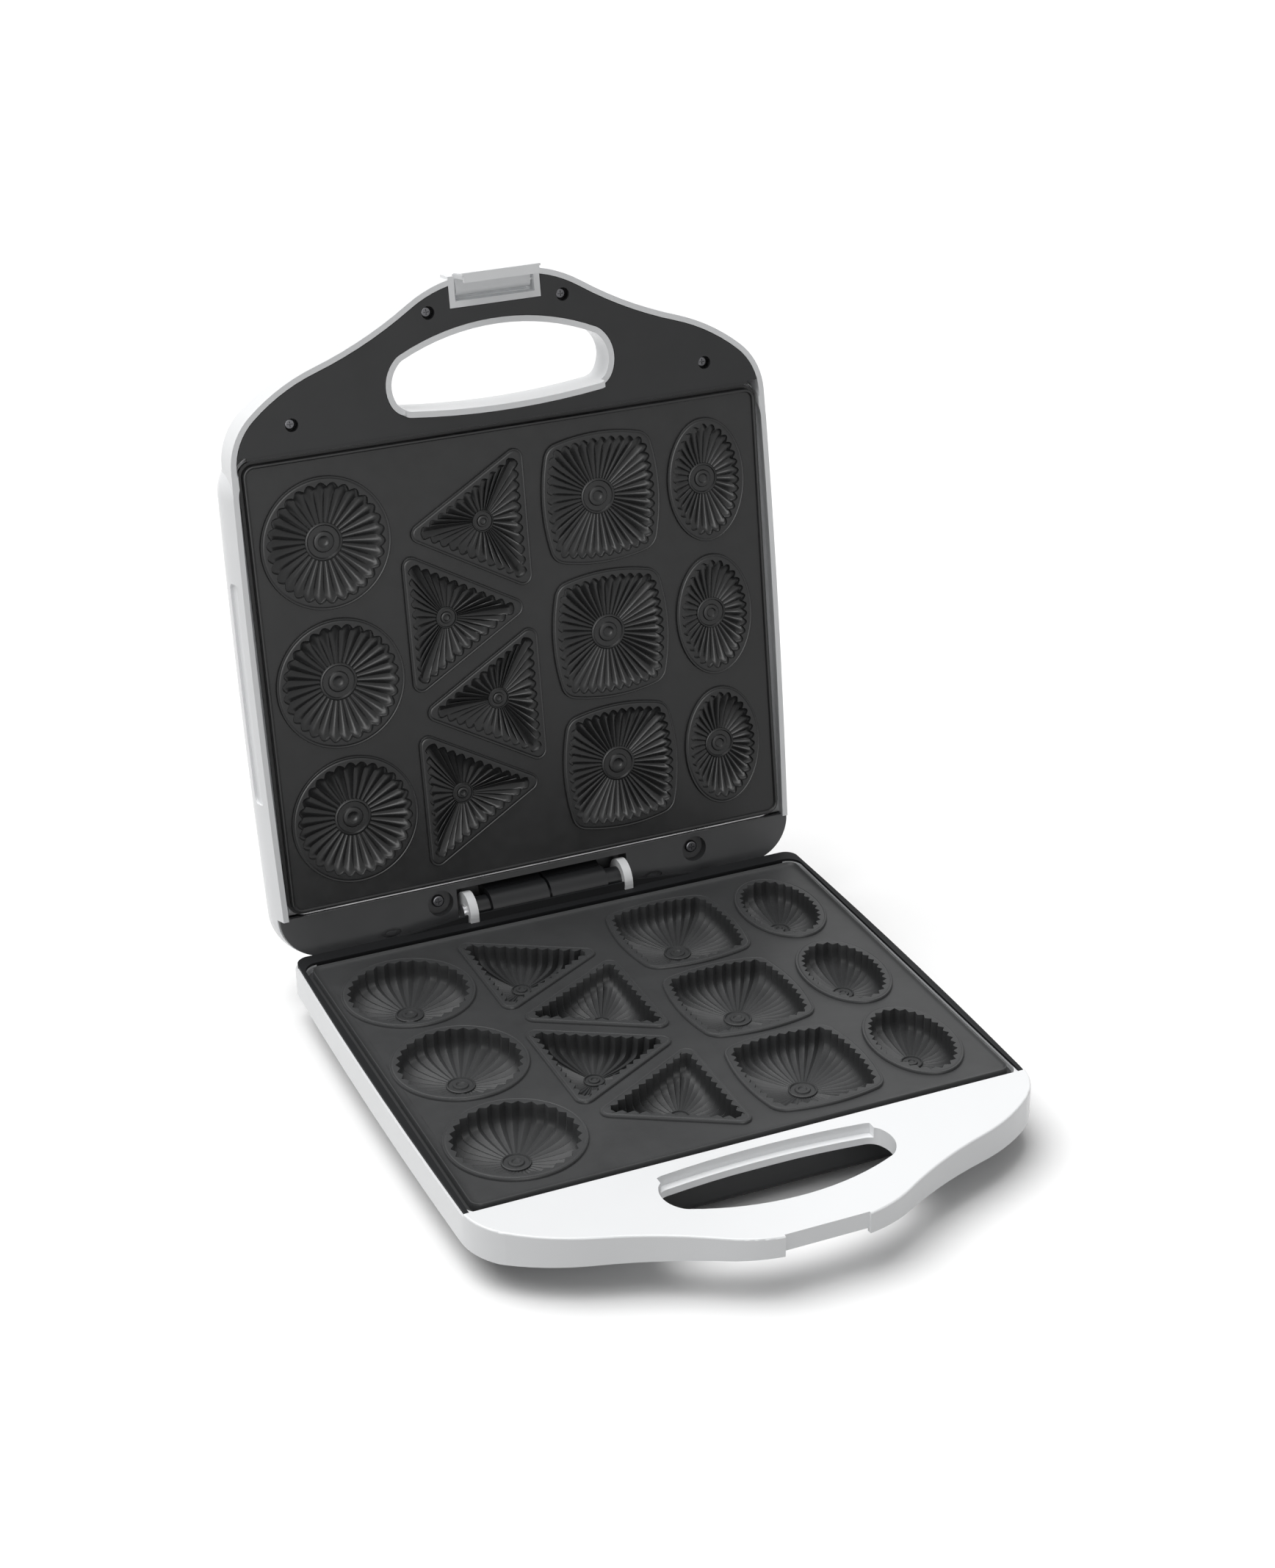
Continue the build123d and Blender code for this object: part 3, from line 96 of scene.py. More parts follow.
# Raised land round a form: (inset from its outer edge, level)
LAND_PROFILE = (
    (0.0, 1.45),
    (0.06, 0.55),
    (0.3, 0.24),
    (0.75, 0.2),
    (1.05, 0.36),
    (1.35, 0.22),
    (1.8, 0.2),
    (2.4, 0.2),
)

# Bead round each plate: (inset from the plate's edge, level)
LOWER_BEAD = (
    (0.0, 3.8),
    (2.05, 3.8),
    (2.15, 0.5),
    (2.3, 0.24),
    (2.55, 0.2),
    (2.75, 0.34),
    (3.1, 0.8),
    (3.7, 1.15),
    (4.8, 1.38),
    (6.2, 1.45),
)
UPPER_BEAD = (
    (0.0, 3.4),
    (1.25, 3.4),
    (1.4, 0.7),
    (1.65, 0.32),
    (2.1, 0.22),
    (2.5, 0.3),
    (2.8, 0.6),
    (3.0, 1.45),
)

# Fluted hollow from its edge to its disc: (share of the way in, level, flute height)
LOWER_HOLLOW = (
    (0.003, 0.5, 0.0),
    (0.008, 3.5, 0.0),
    (0.018, 6.2, 0.1),
    (0.04, 7.7, 0.4),
    (0.08, 8.7, 0.8),
    (0.16, 9.6, 1.0),
    (0.3, 10.6, 0.95),
    (0.5, 11.4, 0.75),
    (0.75, 12.0, 0.5),
    (1.0, 12.4, 0.2),
)
UPPER_HOLLOW = (
    (0.004, 0.4, 0.0),
    (0.02, 1.3, -0.1),
    (0.05, 2.0, -0.45),
    (0.1, 2.8, -1.0),
    (0.18, 3.4, -1.35),
    (0.32, 4.0, -1.3),
    (0.52, 4.4, -1.05),
    (0.76, 4.6, -0.75),
    (1.0, 4.7, -0.4),
)

# Back of a form, from the plate's back to its depth: (inset from its outline, height left to its depth)
BACK_INSET = 1.4 * MM
LOWER_DEPTH = 13.5 * MM
UPPER_DEPTH = 5.4 * MM
LOWER_BACK = (
    (1.5 * MM, 2 * MM),
    (2.3 * MM, 0.6 * MM),
    (4.2 * MM, 0.0),
)
UPPER_BACK = (
    (1.8 * MM, 0.2 * MM),
    (2.6 * MM, 0.0),
)

# Disc with its rings and middle button: (share of the disc's radius, height above the floor)
DISC_PROFILE = (
    (0.98, 0.55),
    (0.93, 0.75),
    (0.88, 0.75),
    (0.82, 0.12),
    (0.56, 0.12),
    (0.5, 0.75),
    (0.43, 0.85),
    (0.32, 0.85),
    (0.24, 0.3),
    (0.1, 0.2),
)

# Where each light comes from
KEY_SOURCE = (-0.22, 0.26, 0.94)
TOP_SOURCE = (-0.36, 0.04, 0.93)
GLINT_SOURCE = (-0.12, -0.97, 0.2)

# Share of the light that the floor gives on, and how white it looks
FLOOR_GIVES = 0.5
SEEN_WHITE = 1.0

# The camera's place from the middle of the plate at a height of 30 mm, and its angles in degrees
CAMERA_AIM_HEIGHT = 30 * MM
CAMERA_OFFSET = Vector((-430.7, -984.55, 647.76)) * MM
CAMERA_ANGLES = (63.439, 0.646, -23.75)
FILM_HEIGHT = 36.0


class BakingPlateSizes(bpy.types.PropertyGroup):
    """Sizes of the forms in the two cast plates."""

    row_pitch: FloatProperty(
        name="Row pitch", description="Distance between rows of forms", default=63 * MM, unit="LENGTH"
    )
    circle_radius: FloatProperty(
        name="Circle radius", description="Outer radius of a round land", default=29.4 * MM, unit="LENGTH"
    )
    square_half: FloatVectorProperty(
        name="Square half size",
        description="Half width and half height of a square land",
        size=2,
        default=(28.5 * MM, 29.9 * MM),
        unit="LENGTH",
    )
    square_pull: FloatProperty(
        name="Square bow",
        description="How far the sides of a square bow out",
        default=3.8 * MM,
        unit="LENGTH",
    )
    square_corner: FloatProperty(
        name="Square corner", description="Corner radius of a square land", default=8 * MM, unit="LENGTH"
    )
    oval_half: FloatVectorProperty(
        name="Oval half size",
        description="Half width and half height of an oval land",
        size=2,
        default=(19.0 * MM, 28.4 * MM),
        unit="LENGTH",
    )
    triangle_side: FloatProperty(
        name="Triangle side", description="Side of a triangular land", default=68.3 * MM, unit="LENGTH"
    )
    triangle_corner: FloatProperty(
        name="Triangle corner",
        description="Corner radius of a triangular land",
        default=4.4 * MM,
        unit="LENGTH",
    )
    land_width: FloatProperty(
        name="Land width",
        description="Width of the raised land round a form",
        default=4.4 * MM,
        unit="LENGTH",
    )
    flute_bulge: FloatProperty(
        name="Flute bulge",
        description="How far each flute bulges outwards at the edge",
        default=1.8 * MM,
        unit="LENGTH",
    )


class FinishColours(bpy.types.PropertyGroup):
    """Colours of the finishes."""

    housing: FloatVectorProperty(
        name="Housing",
        description="White plastic of the housings",
        subtype="COLOR",
        default=(0.83, 0.84, 0.85),
    )
    trim: FloatVectorProperty(
        name="Trim",
        description="Black plastic trim",
        subtype="COLOR",
        default=(0.012, 0.0125, 0.0135),
    )
    rear_cover: FloatVectorProperty(
        name="Rear cover",
        description="Dark grey plastic at the hinge",
        subtype="COLOR",
        default=(0.04, 0.041, 0.043),
    )
    # Painted shade: the upper plate has the same non-stick coating as the lower one, but its colour is
    # made darker to stand in for the shade on the lid's plate
    coating_above_painted_shade: FloatVectorProperty(
        name="Coating above with painted shade",
        description="Non-stick coating of the upper plate, darkened as painted shade",
        subtype="COLOR",
        default=(0.018, 0.0183, 0.0187),
    )
    # Painted light: the lower plate's coating is given a lighter colour than the upper one so that it
    # stands in for the light falling on it
    coating_below_painted_light: FloatVectorProperty(
        name="Coating below with painted light",
        description="Non-stick coating of the lower plate, lightened as painted light",
        subtype="COLOR",
        default=(0.043, 0.044, 0.045),
    )


class StudioSettings(bpy.types.PropertyGroup):
    """Lamps, floor and camera."""

    key_power: FloatProperty(
        name="Key power", description="Strength of the light from behind", default=1.3
    )
    top_power: FloatProperty(
        name="Top power", description="Strength of the light from above", default=1.45
    )
    glint_power: FloatProperty(
        name="Glint power", description="Strength of the front light that is only reflected", default=1.6
    )
    light_spread: FloatProperty(
        name="Light spread",
        description="Angular size of the key and top lights",
        default=math.radians(58),
        subtype="ANGLE",
    )
    sky_level: FloatProperty(
        name="Sky level", description="Strength of the even light all round", default=0.33
    )
    floor_size: FloatProperty(
        name="Floor size", description="Side of the floor", default=14.0, unit="LENGTH"
    )
    lens: FloatProperty(
        name="Lens", description="Focal length of the camera in millimetres", default=67.25
    )


def settings(group):
    """One group of settings of the scene."""
    return getattr(bpy.context.scene, "biscuit_" + group)


def base_half():
    """Matrix from a half's own frame to the base: x across, y towards the handle, z down."""
    top = PLATE_BOX[1].z + LAND_LEVEL
    return Matrix.Translation((0, PLATE_MIDDLE.y, top)) @ Matrix.Rotation(math.pi, 4, "X")


def lid_half():
    """Matrix from a half's own frame to the opened lid: x across, y towards the handle, z outwards."""
    top = PLATE_BOX[1].z + LAND_LEVEL
    closed = Matrix.Translation((0, PLATE_MIDDLE.y, top)) @ Matrix.Rotation(math.pi, 4, "Z")
    hinge = Vector(LID_HINGE["pos_m"])
    opening = Matrix.Rotation(-math.radians(LID_HINGE["range_deg"][1]), 4, "X")
    return Matrix.Translation(hinge) @ opening @ Matrix.Translation(-hinge) @ closed


def arc(centre, radius, start, end, steps=24):
    """Points along an arc, angles in radians."""
    angles = [start + (end - start) * step / steps for step in range(steps + 1)]
    return [Vector((centre[0] + radius * math.cos(a), centre[1] + radius * math.sin(a))) for a in angles]


def circle_outline(inset):
    """Outline of a round form."""
    return arc((0, 0), settings("plates").circle_radius - inset, 0, math.tau, 180)


def oval_outline(inset):
    """Outline of an oval form."""
    width, height = settings("plates").oval_half
    unit = arc((0, 0), 1, 0, math.tau, 360)
    return [Vector((p.x * (width - inset), p.y * (height - inset))) for p in unit]


def square_outline(inset):
    """Square with bowed sides and round corners, made from its first quarter."""
    sizes = settings("plates")
    middle_x, middle_y = (half - inset for half in sizes.square_half)
    corner_x = middle_x - sizes.square_pull + CORNER_LAG * inset
    corner_y = middle_y - sizes.square_pull + CORNER_LAG * inset
    bow_x = middle_x - corner_x
    bow_y = middle_y - corner_y
    side_radius = (bow_x**2 + corner_y**2) / (2 * bow_x)
    top_radius = (bow_y**2 + corner_x**2) / (2 * bow_y)
    side_middle = middle_x - side_radius
    top_middle = middle_y - top_radius
    radius = sizes.square_corner - inset
    # The corner's centre is found step by step: it lies at its radius inside both bowed sides
    x = corner_x - radius
    for _ in range(20):
        y = math.sqrt((top_radius - radius) ** 2 - x**2) + top_middle
        x = math.sqrt((side_radius - radius) ** 2 - y**2) + side_middle
    turn = math.atan2(y, x - side_middle)
    end = math.atan2(y - top_middle, x)
    quarter = arc((side_middle, 0), side_radius, 0, turn)
    quarter += arc((x, y), radius, turn, end)[1:]
    quarter += arc((0, top_middle), top_radius, end, math.pi / 2)[1:]
    second = [Vector((-p.x, p.y)) for p in reversed(quarter[:-1])]
    half = quarter + second
    return half + [Vector((-p.x, -p.y)) for p in half[1:]]


def triangle_outline(inset, points_left=False):
    """Equilateral triangle with round corners, from the middle of its tip."""
    sizes = settings("plates")
    reach = sizes.triangle_side / (2 * math.sqrt(3)) - inset
    radius = sizes.triangle_corner - inset
    out = 2 * (reach - radius)
    tip = math.pi if points_left else 0
    outline = []
    for corner in (0, 1, 2, 3):
        heading = tip + corner * math.tau / 3
        centre = (out * math.cos(heading), out * math.sin(heading))
        start = heading if corner == 0 else heading - math.pi / 3
        end = heading if corner == 3 else heading + math.pi / 3
        outline += arc(centre, radius, start, end)
    return outline


def even_points(outline, count):
    """(point, outward normal) at even distances along a closed outline."""
    lengths = [0.0]
    for a, b in zip(outline, outline[1:]):
        lengths.append(lengths[-1] + (b - a).length)
    points = []
    step = 0
    for number in range(count):
        target = lengths[-1] * number / count
        while lengths[step + 1] < target:
            step += 1
        span = lengths[step + 1] - lengths[step]
        share = (target - lengths[step]) / span if span else 0.0
        points.append(outline[step].lerp(outline[step + 1], share))
    result = []
    for number, point in enumerate(points):
        along = points[(number + 1) % count] - points[number - 1]
        result.append((point, Vector((along.y, -along.x)).normalized()))
    return result


def at_level(points, level, middle=Vector((0, 0))):
    """Flat points as places at one level, moved to the form's middle."""
    return [Vector((p.x + middle.x, p.y + middle.y, level)) for p in points]


def first_ring(mesh, places):
    """Closed ring of vertices at the given places."""
    ring = bmesh.ops.create_circle(mesh, segments=len(places), radius=1.0)["verts"]
    for vert, place in zip(ring, places):
        vert.co = place
    return ring


def ring_edges(mesh, ring):
    """Edges of a closed ring of vertices."""
    return [mesh.edges.get((ring[number - 1], ring[number])) for number in range(len(ring))]


def next_ring(mesh, ring, places):
    """Extrudes a ring and moves its copy to the given places."""
    made = bmesh.ops.extrude_edge_only(mesh, edges=ring_edges(mesh, ring))["geom"]
    copies = {tuple(item.co): item for item in made if isinstance(item, bmesh.types.BMVert)}
    following = [copies[tuple(vert.co)] for vert in ring]
    for vert, place in zip(following, places):
        vert.co = place
    return following


def close_ring(mesh, ring):
    """Caps a ring with one face."""
    bmesh.ops.contextual_create(mesh, geom=ring_edges(mesh, ring))


def fill_between(mesh, outer, inner_rings):
    """Flat face between an outer ring and the rings inside it."""
    edges = ring_edges(mesh, outer)
    for ring in inner_rings:
        edges += ring_edges(mesh, ring)
    bmesh.ops.triangle_fill(mesh, use_beauty=True, edges=edges)


def left_triangle(inset):
    """Outline of a triangular form that points to the left."""
    return triangle_outline(inset, points_left=True)


def form_layout(side):
    """(kind, middle, outline function) of the thirteen forms. Side is 1 on the base and -1 on the lid."""
    pitch = settings("plates").row_pitch
    layout = []
    for row in (pitch, 0, -pitch):
        layout.append(("circle", Vector((side * CIRCLE_COLUMN, row)), circle_outline))
        layout.append(("square", Vector((side * SQUARE_COLUMN, row)), square_outline))
        layout.append(("oval", Vector((side * OVAL_COLUMN, row)), oval_outline))
    for number, row in enumerate(TRIANGLE_ROWS):
        points_left = number % 2 == 0
        column = LEFT_TRIANGLE_COLUMN if points_left else RIGHT_TRIANGLE_COLUMN
        outline = left_triangle if points_left == (side > 0) else triangle_outline
        layout.append(("triangle", Vector((side * column, row)), outline))
    return layout


def scallops(count):
    """Bulge of each point, from 0 to 1, for rounded lobes that meet in sharp inward points."""
    return [abs(math.sin(math.pi * number / POINTS_PER_FLUTE)) for number in range(count)]


def saw_teeth(count):
    """Bulge of each point, from 0 to 1, for sharp teeth that point outwards."""
    shares = [number % POINTS_PER_FLUTE for number in range(count)]
    return [(1 - abs(2 * share / POINTS_PER_FLUTE - 1)) ** TOOTH_POWER for share in shares]


def stepped_rings(mesh, middle, outline, count, profile):
    """Rings of a form at each (inset, level) of a profile. Returns the first ring and the last."""
    outer = None
    ring = None
    for inset, level in profile:
        places = at_level([p for p, _ in even_points(outline(inset), count)], level, middle)
        ring = first_ring(mesh, places) if ring is None else next_ring(mesh, ring, places)
        outer = outer or ring
    return outer, ring


def fluted_form(mesh, kind, middle, outline, hollow, disc_radius, edge_shape):
    """Land, fluted hollow and ringed disc of one form. Returns the land's outer ring."""
    sizes = settings("plates")
    count = FLUTES[kind] * POINTS_PER_FLUTE
    land = [(inset * MM, level * MM) for inset, level in LAND_PROFILE]
    outer, ring = stepped_rings(mesh, middle, outline, count, land)
    bulges = edge_shape(count)
    edge = []
    for (point, normal), bulge in zip(even_points(outline(sizes.land_width), count), bulges):
        edge.append(point + normal * bulge * sizes.flute_bulge)
    ring = next_ring(mesh, ring, at_level(edge, LAND_LEVEL, middle))
    disc = [point.normalized() * disc_radius for point in edge]
    for share, level, flute in hollow:
        places = []
        for start, end, bulge in zip(edge, disc, bulges):
            spot = start.lerp(end, share) + middle
            places.append(Vector((spot.x, spot.y, (level + flute * bulge) * MM)))
        ring = next_ring(mesh, ring, places)
    floor = hollow[-1][1] * MM
    for share, rise in DISC_PROFILE:
        ring = next_ring(mesh, ring, at_level([p * share for p in disc], floor - rise * MM, middle))
    close_ring(mesh, ring)
    return outer


def form_back(mesh, middle, outline, depth, steps):
    """Back of one form, seen from behind the plate. Returns the ring on the plate's back."""
    profile = [(BACK_INSET, PLATE_BACK)] + [(inset, depth - left) for inset, left in steps]
    outer, ring = stepped_rings(mesh, middle, outline, POINTS_PER_BACK, profile)
    close_ring(mesh, ring)
    return outer


def plate_outline(inset):
    """Outline of the whole plate with its round corners."""
    radius = PLATE_CORNER - inset
    half_x = PLATE_SIZE.x / 2 - PLATE_CORNER
    half_y = PLATE_SIZE.y / 2 - PLATE_CORNER
    outline = []
    for turn, (sign_x, sign_y) in enumerate(((1, 1), (-1, 1), (-1, -1), (1, -1))):
        start = turn * math.pi / 2
        outline += arc((sign_x * half_x, sign_y * half_y), radius, start, start + math.pi / 2, 10)
    return outline


def finished_piece(name, mesh, place, body, sharp=35):
    """Object from a bmesh that was made in its half's own frame."""
    mesh.transform(place)
    bmesh.ops.recalc_face_normals(mesh, faces=mesh.faces)
    data = bpy.data.meshes.new(name)
    mesh.to_mesh(data)
    mesh.free()
    data.shade_smooth()
    data.set_sharp_from_angle(angle=math.radians(sharp))
    piece = bpy.data.objects.new(name, data)
    bpy.context.scene.collection.objects.link(piece)
    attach(piece, body)
    return piece


def cast_plate(name, side, place, body, design, coating):
    """One baking plate: bead, field, fluted forms, skirt and the backs of the forms."""
    bead, hollow, edge_shape, disc_radii, depth, back_steps = design
    mesh = bmesh.new()
    skirt = first_ring(mesh, at_level(plate_outline(0), SKIRT_LEVEL))
    ring = skirt
    for inset, level in bead:
        ring = next_ring(mesh, ring, at_level(plate_outline(inset * MM), level * MM))
    lands = []
    backs = []
    for kind, middle, outline in form_layout(side):
        lands.append(fluted_form(mesh, kind, middle, outline, hollow, disc_radii[kind], edge_shape))
        backs.append(form_back(mesh, middle, outline, depth, back_steps))
    fill_between(mesh, ring, lands)
    ring = next_ring(mesh, skirt, at_level(plate_outline(SKIRT_WIDTH), SKIRT_LEVEL))
    ring = next_ring(mesh, ring, at_level(plate_outline(SKIRT_WIDTH), PLATE_BACK))
    fill_between(mesh, ring, backs)
    plate = finished_piece(name, mesh, place, body)
    # The coating passed in is lighter on the lower plate (painted light) and darker on the upper one
    # (painted shade)
    plate.data.materials.append(coating)
    return plate


def node_of(tree, kind, **values):
    """Adds a shader node and sets its named inputs."""
    node = tree.nodes.new(kind)
    for name, value in values.items():
        node.inputs[name.replace("_", " ")].default_value = value
    return node


def mottle_group():
    """Node group: a value that wanders between two limits, and a height for bumps."""
    if "Fine mottle" in bpy.data.node_groups:
        return bpy.data.node_groups["Fine mottle"]
    group = bpy.data.node_groups.new("Fine mottle", "ShaderNodeTree")
    for name, kind in (("Vector", "Vector"), ("Scale", "Float"), ("Low", "Float"), ("High", "Float")):
        group.interface.new_socket(name=name, in_out="INPUT", socket_type="NodeSocket" + kind)
    for name in ("Value", "Height"):
        group.interface.new_socket(name=name, in_out="OUTPUT", socket_type="NodeSocketFloat")
    start = group.nodes.new("NodeGroupInput")
    end = group.nodes.new("NodeGroupOutput")
    noise = node_of(group, "ShaderNodeTexNoise", Detail=4.0, Roughness=0.6)
    spread = node_of(group, "ShaderNodeMapRange", From_Min=0.3, From_Max=0.7)
    group.links.new(start.outputs["Vector"], noise.inputs["Vector"])
    group.links.new(start.outputs["Scale"], noise.inputs["Scale"])
    group.links.new(noise.outputs["Fac"], spread.inputs["Value"])
    group.links.new(start.outputs["Low"], spread.inputs["To Min"])
    group.links.new(start.outputs["High"], spread.inputs["To Max"])
    group.links.new(spread.outputs["Result"], end.inputs["Value"])
    group.links.new(noise.outputs["Fac"], end.inputs["Height"])
    return group


def place_mottle(tree, coordinates, scale, low, high):
    """One use of the mottle group in a material."""
    node = tree.nodes.new("ShaderNodeGroup")
    node.node_tree = mottle_group()
    node.inputs["Scale"].default_value = scale
    node.inputs["Low"].default_value = low
    node.inputs["High"].default_value = high
    tree.links.new(coordinates.outputs["Object"], node.inputs["Vector"])
    return node


def finish(name, colour, roughness, grain, depth, shade=0.12, patch=9.0, **values):
    """Material whose colour and roughness wander a little and whose surface has a fine grain.

    Roughness is a pair of limits, grain the scale of the bumps and depth their height in metres. Shade
    is how far the colour wanders, and patch the scale at which it does.
    """
    if name in bpy.data.materials:
        return bpy.data.materials[name]
    material = bpy.data.materials.new(name)
    material.use_nodes = True
    tree = material.node_tree
    shader = tree.nodes["Principled BSDF"]
    for socket, value in values.items():
        shader.inputs[socket.replace("_", " ")].default_value = value
    coordinates = tree.nodes.new("ShaderNodeTexCoord")
    tone = place_mottle(tree, coordinates, patch, 0.0, 1.0)
    blend = tree.nodes.new("ShaderNodeMix")
    blend.data_type = "RGBA"
    blend.inputs["A"].default_value = (*[channel * (1 - shade) for channel in colour], 1)
    blend.inputs["B"].default_value = (*[min(1, channel * (1 + shade)) for channel in colour], 1)
    tree.links.new(tone.outputs["Value"], blend.inputs["Factor"])
    tree.links.new(blend.outputs["Result"], shader.inputs["Base Color"])
    polish = place_mottle(tree, coordinates, patch * 6, *roughness)
    tree.links.new(polish.outputs["Value"], shader.inputs["Roughness"])
    bumps = place_mottle(tree, coordinates, grain, 0.0, 1.0)
    bump = node_of(tree, "ShaderNodeBump", Strength=1.0, Distance=depth)
    tree.links.new(bumps.outputs["Height"], bump.inputs["Height"])
    tree.links.new(bump.outputs["Normal"], shader.inputs["Normal"])
    return material


def white_housing_plastic():
    colour = settings("finish").housing
    return finish(
        "White housing plastic", colour, (0.2, 0.27), 900, 0.004 * MM, shade=0.012, Specular_IOR_Level=0.5
    )


def black_trim_plastic():
    colour = settings("finish").trim
    return finish(
        "Black trim plastic", colour, (0.34, 0.44), 2600, 0.02 * MM, shade=0.2, Specular_IOR_Level=0.28
    )


def grey_rear_plastic():
    return finish("Grey rear plastic", settings("finish").rear_cover, (0.42, 0.52), 2600, 0.03 * MM)


def dark_border_plastic():
    colour = settings("finish").trim
    return finish(
        "Dark border plastic", colour, (0.55, 0.65), 2600, 0.02 * MM, Specular_IOR_Level=0.15
    )


# Painted light: this coating's colour is lighter than the upper plate's so that it stands in for light
def lit_lower_coating():
    colour = settings("finish").coating_below_painted_light
    return finish(
        "Nonstick coating below with painted light", colour, (0.42, 0.5), 1500, 0.01 * MM, 0.14, 24, Specular_IOR_Level=0.3
    )


# Painted shade: this coating's colour is darker than the lower plate's so that it stands in for shade
def shaded_upper_coating():
    colour = settings("finish").coating_above_painted_shade
    return finish(
        "Nonstick coating above with painted shade", colour, (0.3, 0.38), 1500, 0.012 * MM, 0.14, 24, Specular_IOR_Level=0.3
    )


def turned_steel():
    return finish("Turned steel", (0.5, 0.5, 0.51), (0.28, 0.4), 1800, 0.01 * MM, Metallic=1.0)


def dark_screw_steel():
    return finish("Dark screw steel", (0.09, 0.09, 0.095), (0.3, 0.42), 2000, 0.01 * MM, Metallic=1.0)


def bright_sheet():
    return finish("Bright sheet aluminium", (0.7, 0.7, 0.71), (0.25, 0.38), 600, 0.02 * MM, Metallic=1.0)


def heater_sheath():
    return finish("Heater sheath", (0.16, 0.13, 0.11), (0.45, 0.6), 1400, 0.02 * MM, Metallic=1.0)


def foot_rubber():
    return finish("Foot rubber", (0.018, 0.018, 0.018), (0.7, 0.85), 2200, 0.03 * MM)


def fired_ceramic():
    return finish("Fired ceramic", (0.74, 0.71, 0.64), (0.5, 0.65), 1200, 0.02 * MM)


def lamp_lens():
    colour = (0.55, 0.04, 0.015)
    return finish(
        "Lamp lens", colour, (0.08, 0.14), 400, 0.003 * MM, Transmission_Weight=0.6, IOR=1.49
    )


FINISHED_NODES = {
    white_housing_plastic: ("base_housing", "lid_housing", "latch_clip"),
    black_trim_plastic: (
        "bottom_cover",
        "lid_handle_cover",
        "hinge_barrel_left",
        "hinge_barrel_right",
        "hinge_bushings",
    ),
    grey_rear_plastic: ("lid_rear_cover",),
    dark_border_plastic: ("base_border",),
    turned_steel: (
        "hinge_pin",
        "latch_pin",
        "lower_element_clamps",
        "upper_element_clamps",
        "thermal_fuse",
    ),
    dark_screw_steel: (
        "base_screws",
        "lower_plate_screws",
        "lower_clamp_screws",
        "handle_cover_screws",
        "rear_cover_screws",
        "upper_plate_screws",
        "upper_clamp_screws",
    ),
    bright_sheet: ("lower_plate_frame", "upper_plate_frame", "lower_reflector", "upper_reflector"),
    heater_sheath: ("lower_heating_element", "upper_heating_element"),
    foot_rubber: ("rubber_feet", "cord_gland"),
    fired_ceramic: ("thermostat", "terminal_block", "lamp_holder"),
    lamp_lens: ("indicator_lenses",),
}


class BISCUIT_OT_lower_plate(bpy.types.Operator):
    """Casts the lower plate with its deep fluted forms"""

    bl_idname = "biscuit.lower_plate"
    bl_label = "Lower plate"

    def execute(self, context):
        design = (LOWER_BEAD, LOWER_HOLLOW, saw_teeth, LOWER_DISC_RADII, LOWER_DEPTH, LOWER_BACK)
        plate = cast_plate("lower_cast_plate", 1, base_half(), "base", design, lit_lower_coating())
        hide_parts("lower_plate")
        return {"FINISHED"}


class BISCUIT_OT_upper_plate(bpy.types.Operator):
    """Casts the upper plate with its shallow ribbed forms"""

    bl_idname = "biscuit.upper_plate"
    bl_label = "Upper plate"

    def execute(self, context):
        design = (UPPER_BEAD, UPPER_HOLLOW, scallops, UPPER_DISC_RADII, UPPER_DEPTH, UPPER_BACK)
        plate = cast_plate("upper_cast_plate", -1, lid_half(), "lid", design, shaded_upper_coating())
        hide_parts("upper_plate")
        return {"FINISHED"}


class BISCUIT_OT_finishes(bpy.types.Operator):
    """Gives each solid piece that stays its finish"""

    bl_idname = "biscuit.finishes"
    bl_label = "Finishes"

    def execute(self, context):
        for make, names in FINISHED_NODES.items():
            for name in names:
                data = frame["nodes"][name].data
                data.materials.clear()
                data.materials.append(make())
        return {"FINISHED"}


def white_for_sight(tree, seen, unseen):
    """Colour that is one value for sight, reflections and glass, and another for the light it gives."""
    path = tree.nodes.new("ShaderNodeLightPath")
    first = tree.nodes.new("ShaderNodeMath")
    first.operation = "MAXIMUM"
    second = tree.nodes.new("ShaderNodeMath")
    second.operation = "MAXIMUM"
    tree.links.new(path.outputs["Is Camera Ray"], first.inputs[0])
    tree.links.new(path.outputs["Is Glossy Ray"], first.inputs[1])
    tree.links.new(first.outputs[0], second.inputs[0])
    tree.links.new(path.outputs["Is Transmission Ray"], second.inputs[1])
    blend = tree.nodes.new("ShaderNodeMix")
    blend.data_type = "RGBA"
    blend.inputs["A"].default_value = (unseen, unseen, unseen, 1)
    blend.inputs["B"].default_value = (seen, seen, seen, 1)
    tree.links.new(second.outputs[0], blend.inputs["Factor"])
    return blend.outputs["Result"]


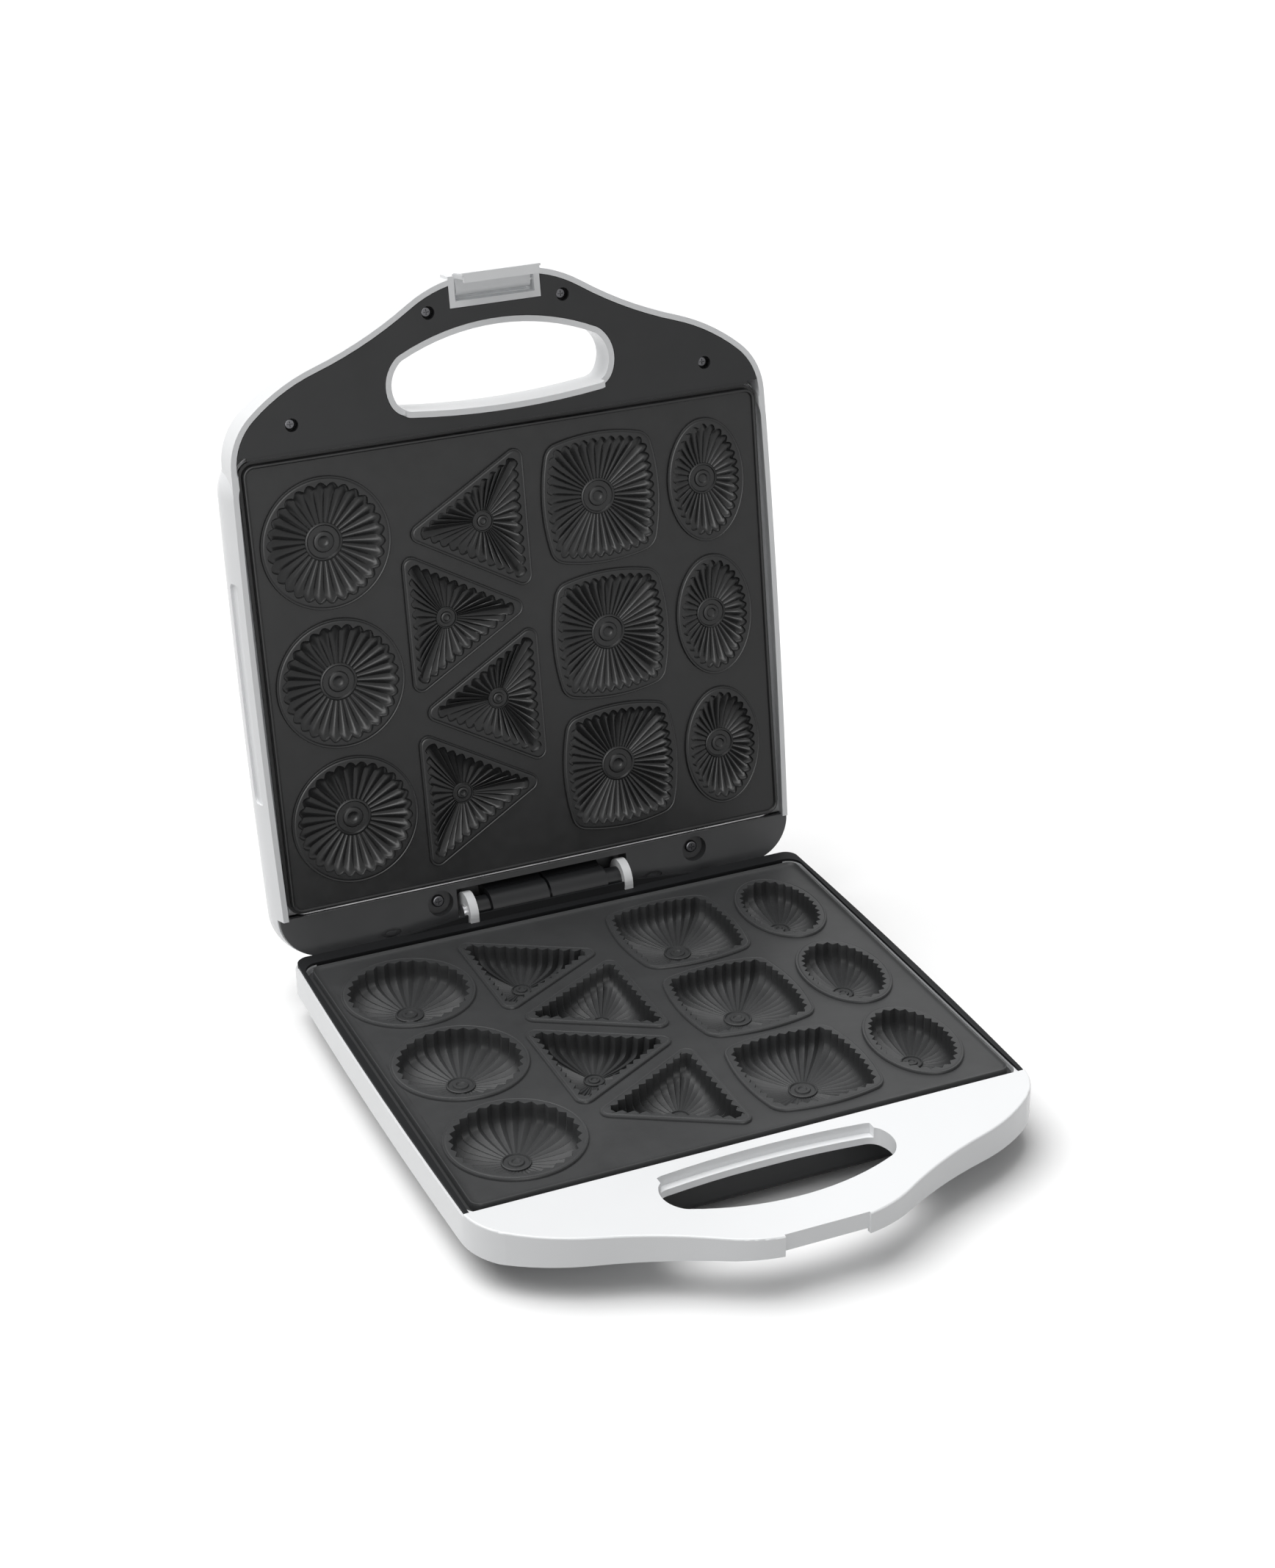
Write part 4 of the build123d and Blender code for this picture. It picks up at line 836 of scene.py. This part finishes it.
class BISCUIT_OT_studio(bpy.types.Operator):
    """Sets up the floor, the lights and the camera"""

    bl_idname = "biscuit.studio"
    bl_label = "Studio"

    def execute(self, context):
        studio = settings("studio")
        mesh = bmesh.new()
        bmesh.ops.create_grid(mesh, x_segments=1, y_segments=1, size=studio.floor_size / 2)
        data = bpy.data.meshes.new("studio_floor")
        mesh.to_mesh(data)
        mesh.free()
        floor = bpy.data.objects.new("studio_floor", data)
        context.scene.collection.objects.link(floor)
        paper = bpy.data.materials.new("Studio paper")
        paper.use_nodes = True
        tree = paper.node_tree
        tree.nodes.remove(tree.nodes["Principled BSDF"])
        diffuse = tree.nodes.new("ShaderNodeBsdfDiffuse")
        white = white_for_sight(tree, SEEN_WHITE, FLOOR_GIVES)
        tree.links.new(white, diffuse.inputs["Color"])
        tree.links.new(diffuse.outputs[0], tree.nodes["Material Output"].inputs["Surface"])
        data.materials.append(paper)

        world = bpy.data.worlds.new("Studio light")
        world.use_nodes = True
        tree = world.node_tree
        white = white_for_sight(tree, SEEN_WHITE, studio.sky_level)
        tree.links.new(white, tree.nodes["Background"].inputs["Color"])
        context.scene.world = world

        for name, power, spread, source in (
            ("key_light", studio.key_power, studio.light_spread, KEY_SOURCE),
            ("top_light", studio.top_power, studio.light_spread, TOP_SOURCE),
            ("glint_light", studio.glint_power, studio.light_spread / 2, GLINT_SOURCE),
        ):
            sun = bpy.data.lights.new(name, "SUN")
            sun.energy = power
            sun.angle = spread
            lamp = bpy.data.objects.new(name, sun)
            lamp.rotation_euler = Vector(source).to_track_quat("Z", "Y").to_euler()
            lamp.visible_diffuse = name != "glint_light"
            context.scene.collection.objects.link(lamp)

        lens = bpy.data.cameras.new("photo_camera")
        lens.lens = studio.lens
        lens.sensor_fit = "VERTICAL"
        lens.sensor_height = FILM_HEIGHT
        camera = bpy.data.objects.new("photo_camera", lens)
        camera.location = CAMERA_OFFSET + Vector((0, PLATE_MIDDLE.y, CAMERA_AIM_HEIGHT))
        camera.rotation_euler = Euler([math.radians(angle) for angle in CAMERA_ANGLES])
        context.scene.collection.objects.link(camera)
        context.scene.camera = camera
        context.scene.view_settings.view_transform = "Standard"
        return {"FINISHED"}


class BISCUIT_PT_panel(bpy.types.Panel):
    """Buttons and settings of the biscuit maker"""

    bl_idname = "BISCUIT_PT_panel"
    bl_label = "Biscuit maker"
    bl_space_type = "VIEW_3D"
    bl_region_type = "UI"
    bl_category = "Biscuit maker"

    def draw(self, context):
        for operator in OPERATORS:
            self.layout.operator(operator.bl_idname)
        for group, properties in GROUPS.items():
            box = self.layout.box()
            for name in properties.__annotations__:
                box.prop(settings(group), name)


GROUPS = {"plates": BakingPlateSizes, "finish": FinishColours, "studio": StudioSettings}
OPERATORS = (
    BISCUIT_OT_lower_plate,
    BISCUIT_OT_upper_plate,
    BISCUIT_OT_finishes,
    BISCUIT_OT_studio,
)


def register():
    for group, properties in GROUPS.items():
        bpy.utils.register_class(properties)
        setattr(bpy.types.Scene, "biscuit_" + group, PointerProperty(type=properties))
    for item in (*OPERATORS, BISCUIT_PT_panel):
        bpy.utils.register_class(item)


def unregister():
    for item in reversed((*OPERATORS, BISCUIT_PT_panel)):
        bpy.utils.unregister_class(item)
    for group, properties in GROUPS.items():
        delattr(bpy.types.Scene, "biscuit_" + group)
        bpy.utils.unregister_class(properties)


def main():
    register()
    bpy.ops.biscuit.lower_plate()
    bpy.ops.biscuit.upper_plate()
    bpy.ops.biscuit.finishes()
    bpy.ops.biscuit.studio()


if __name__ == "__main__":
    main()
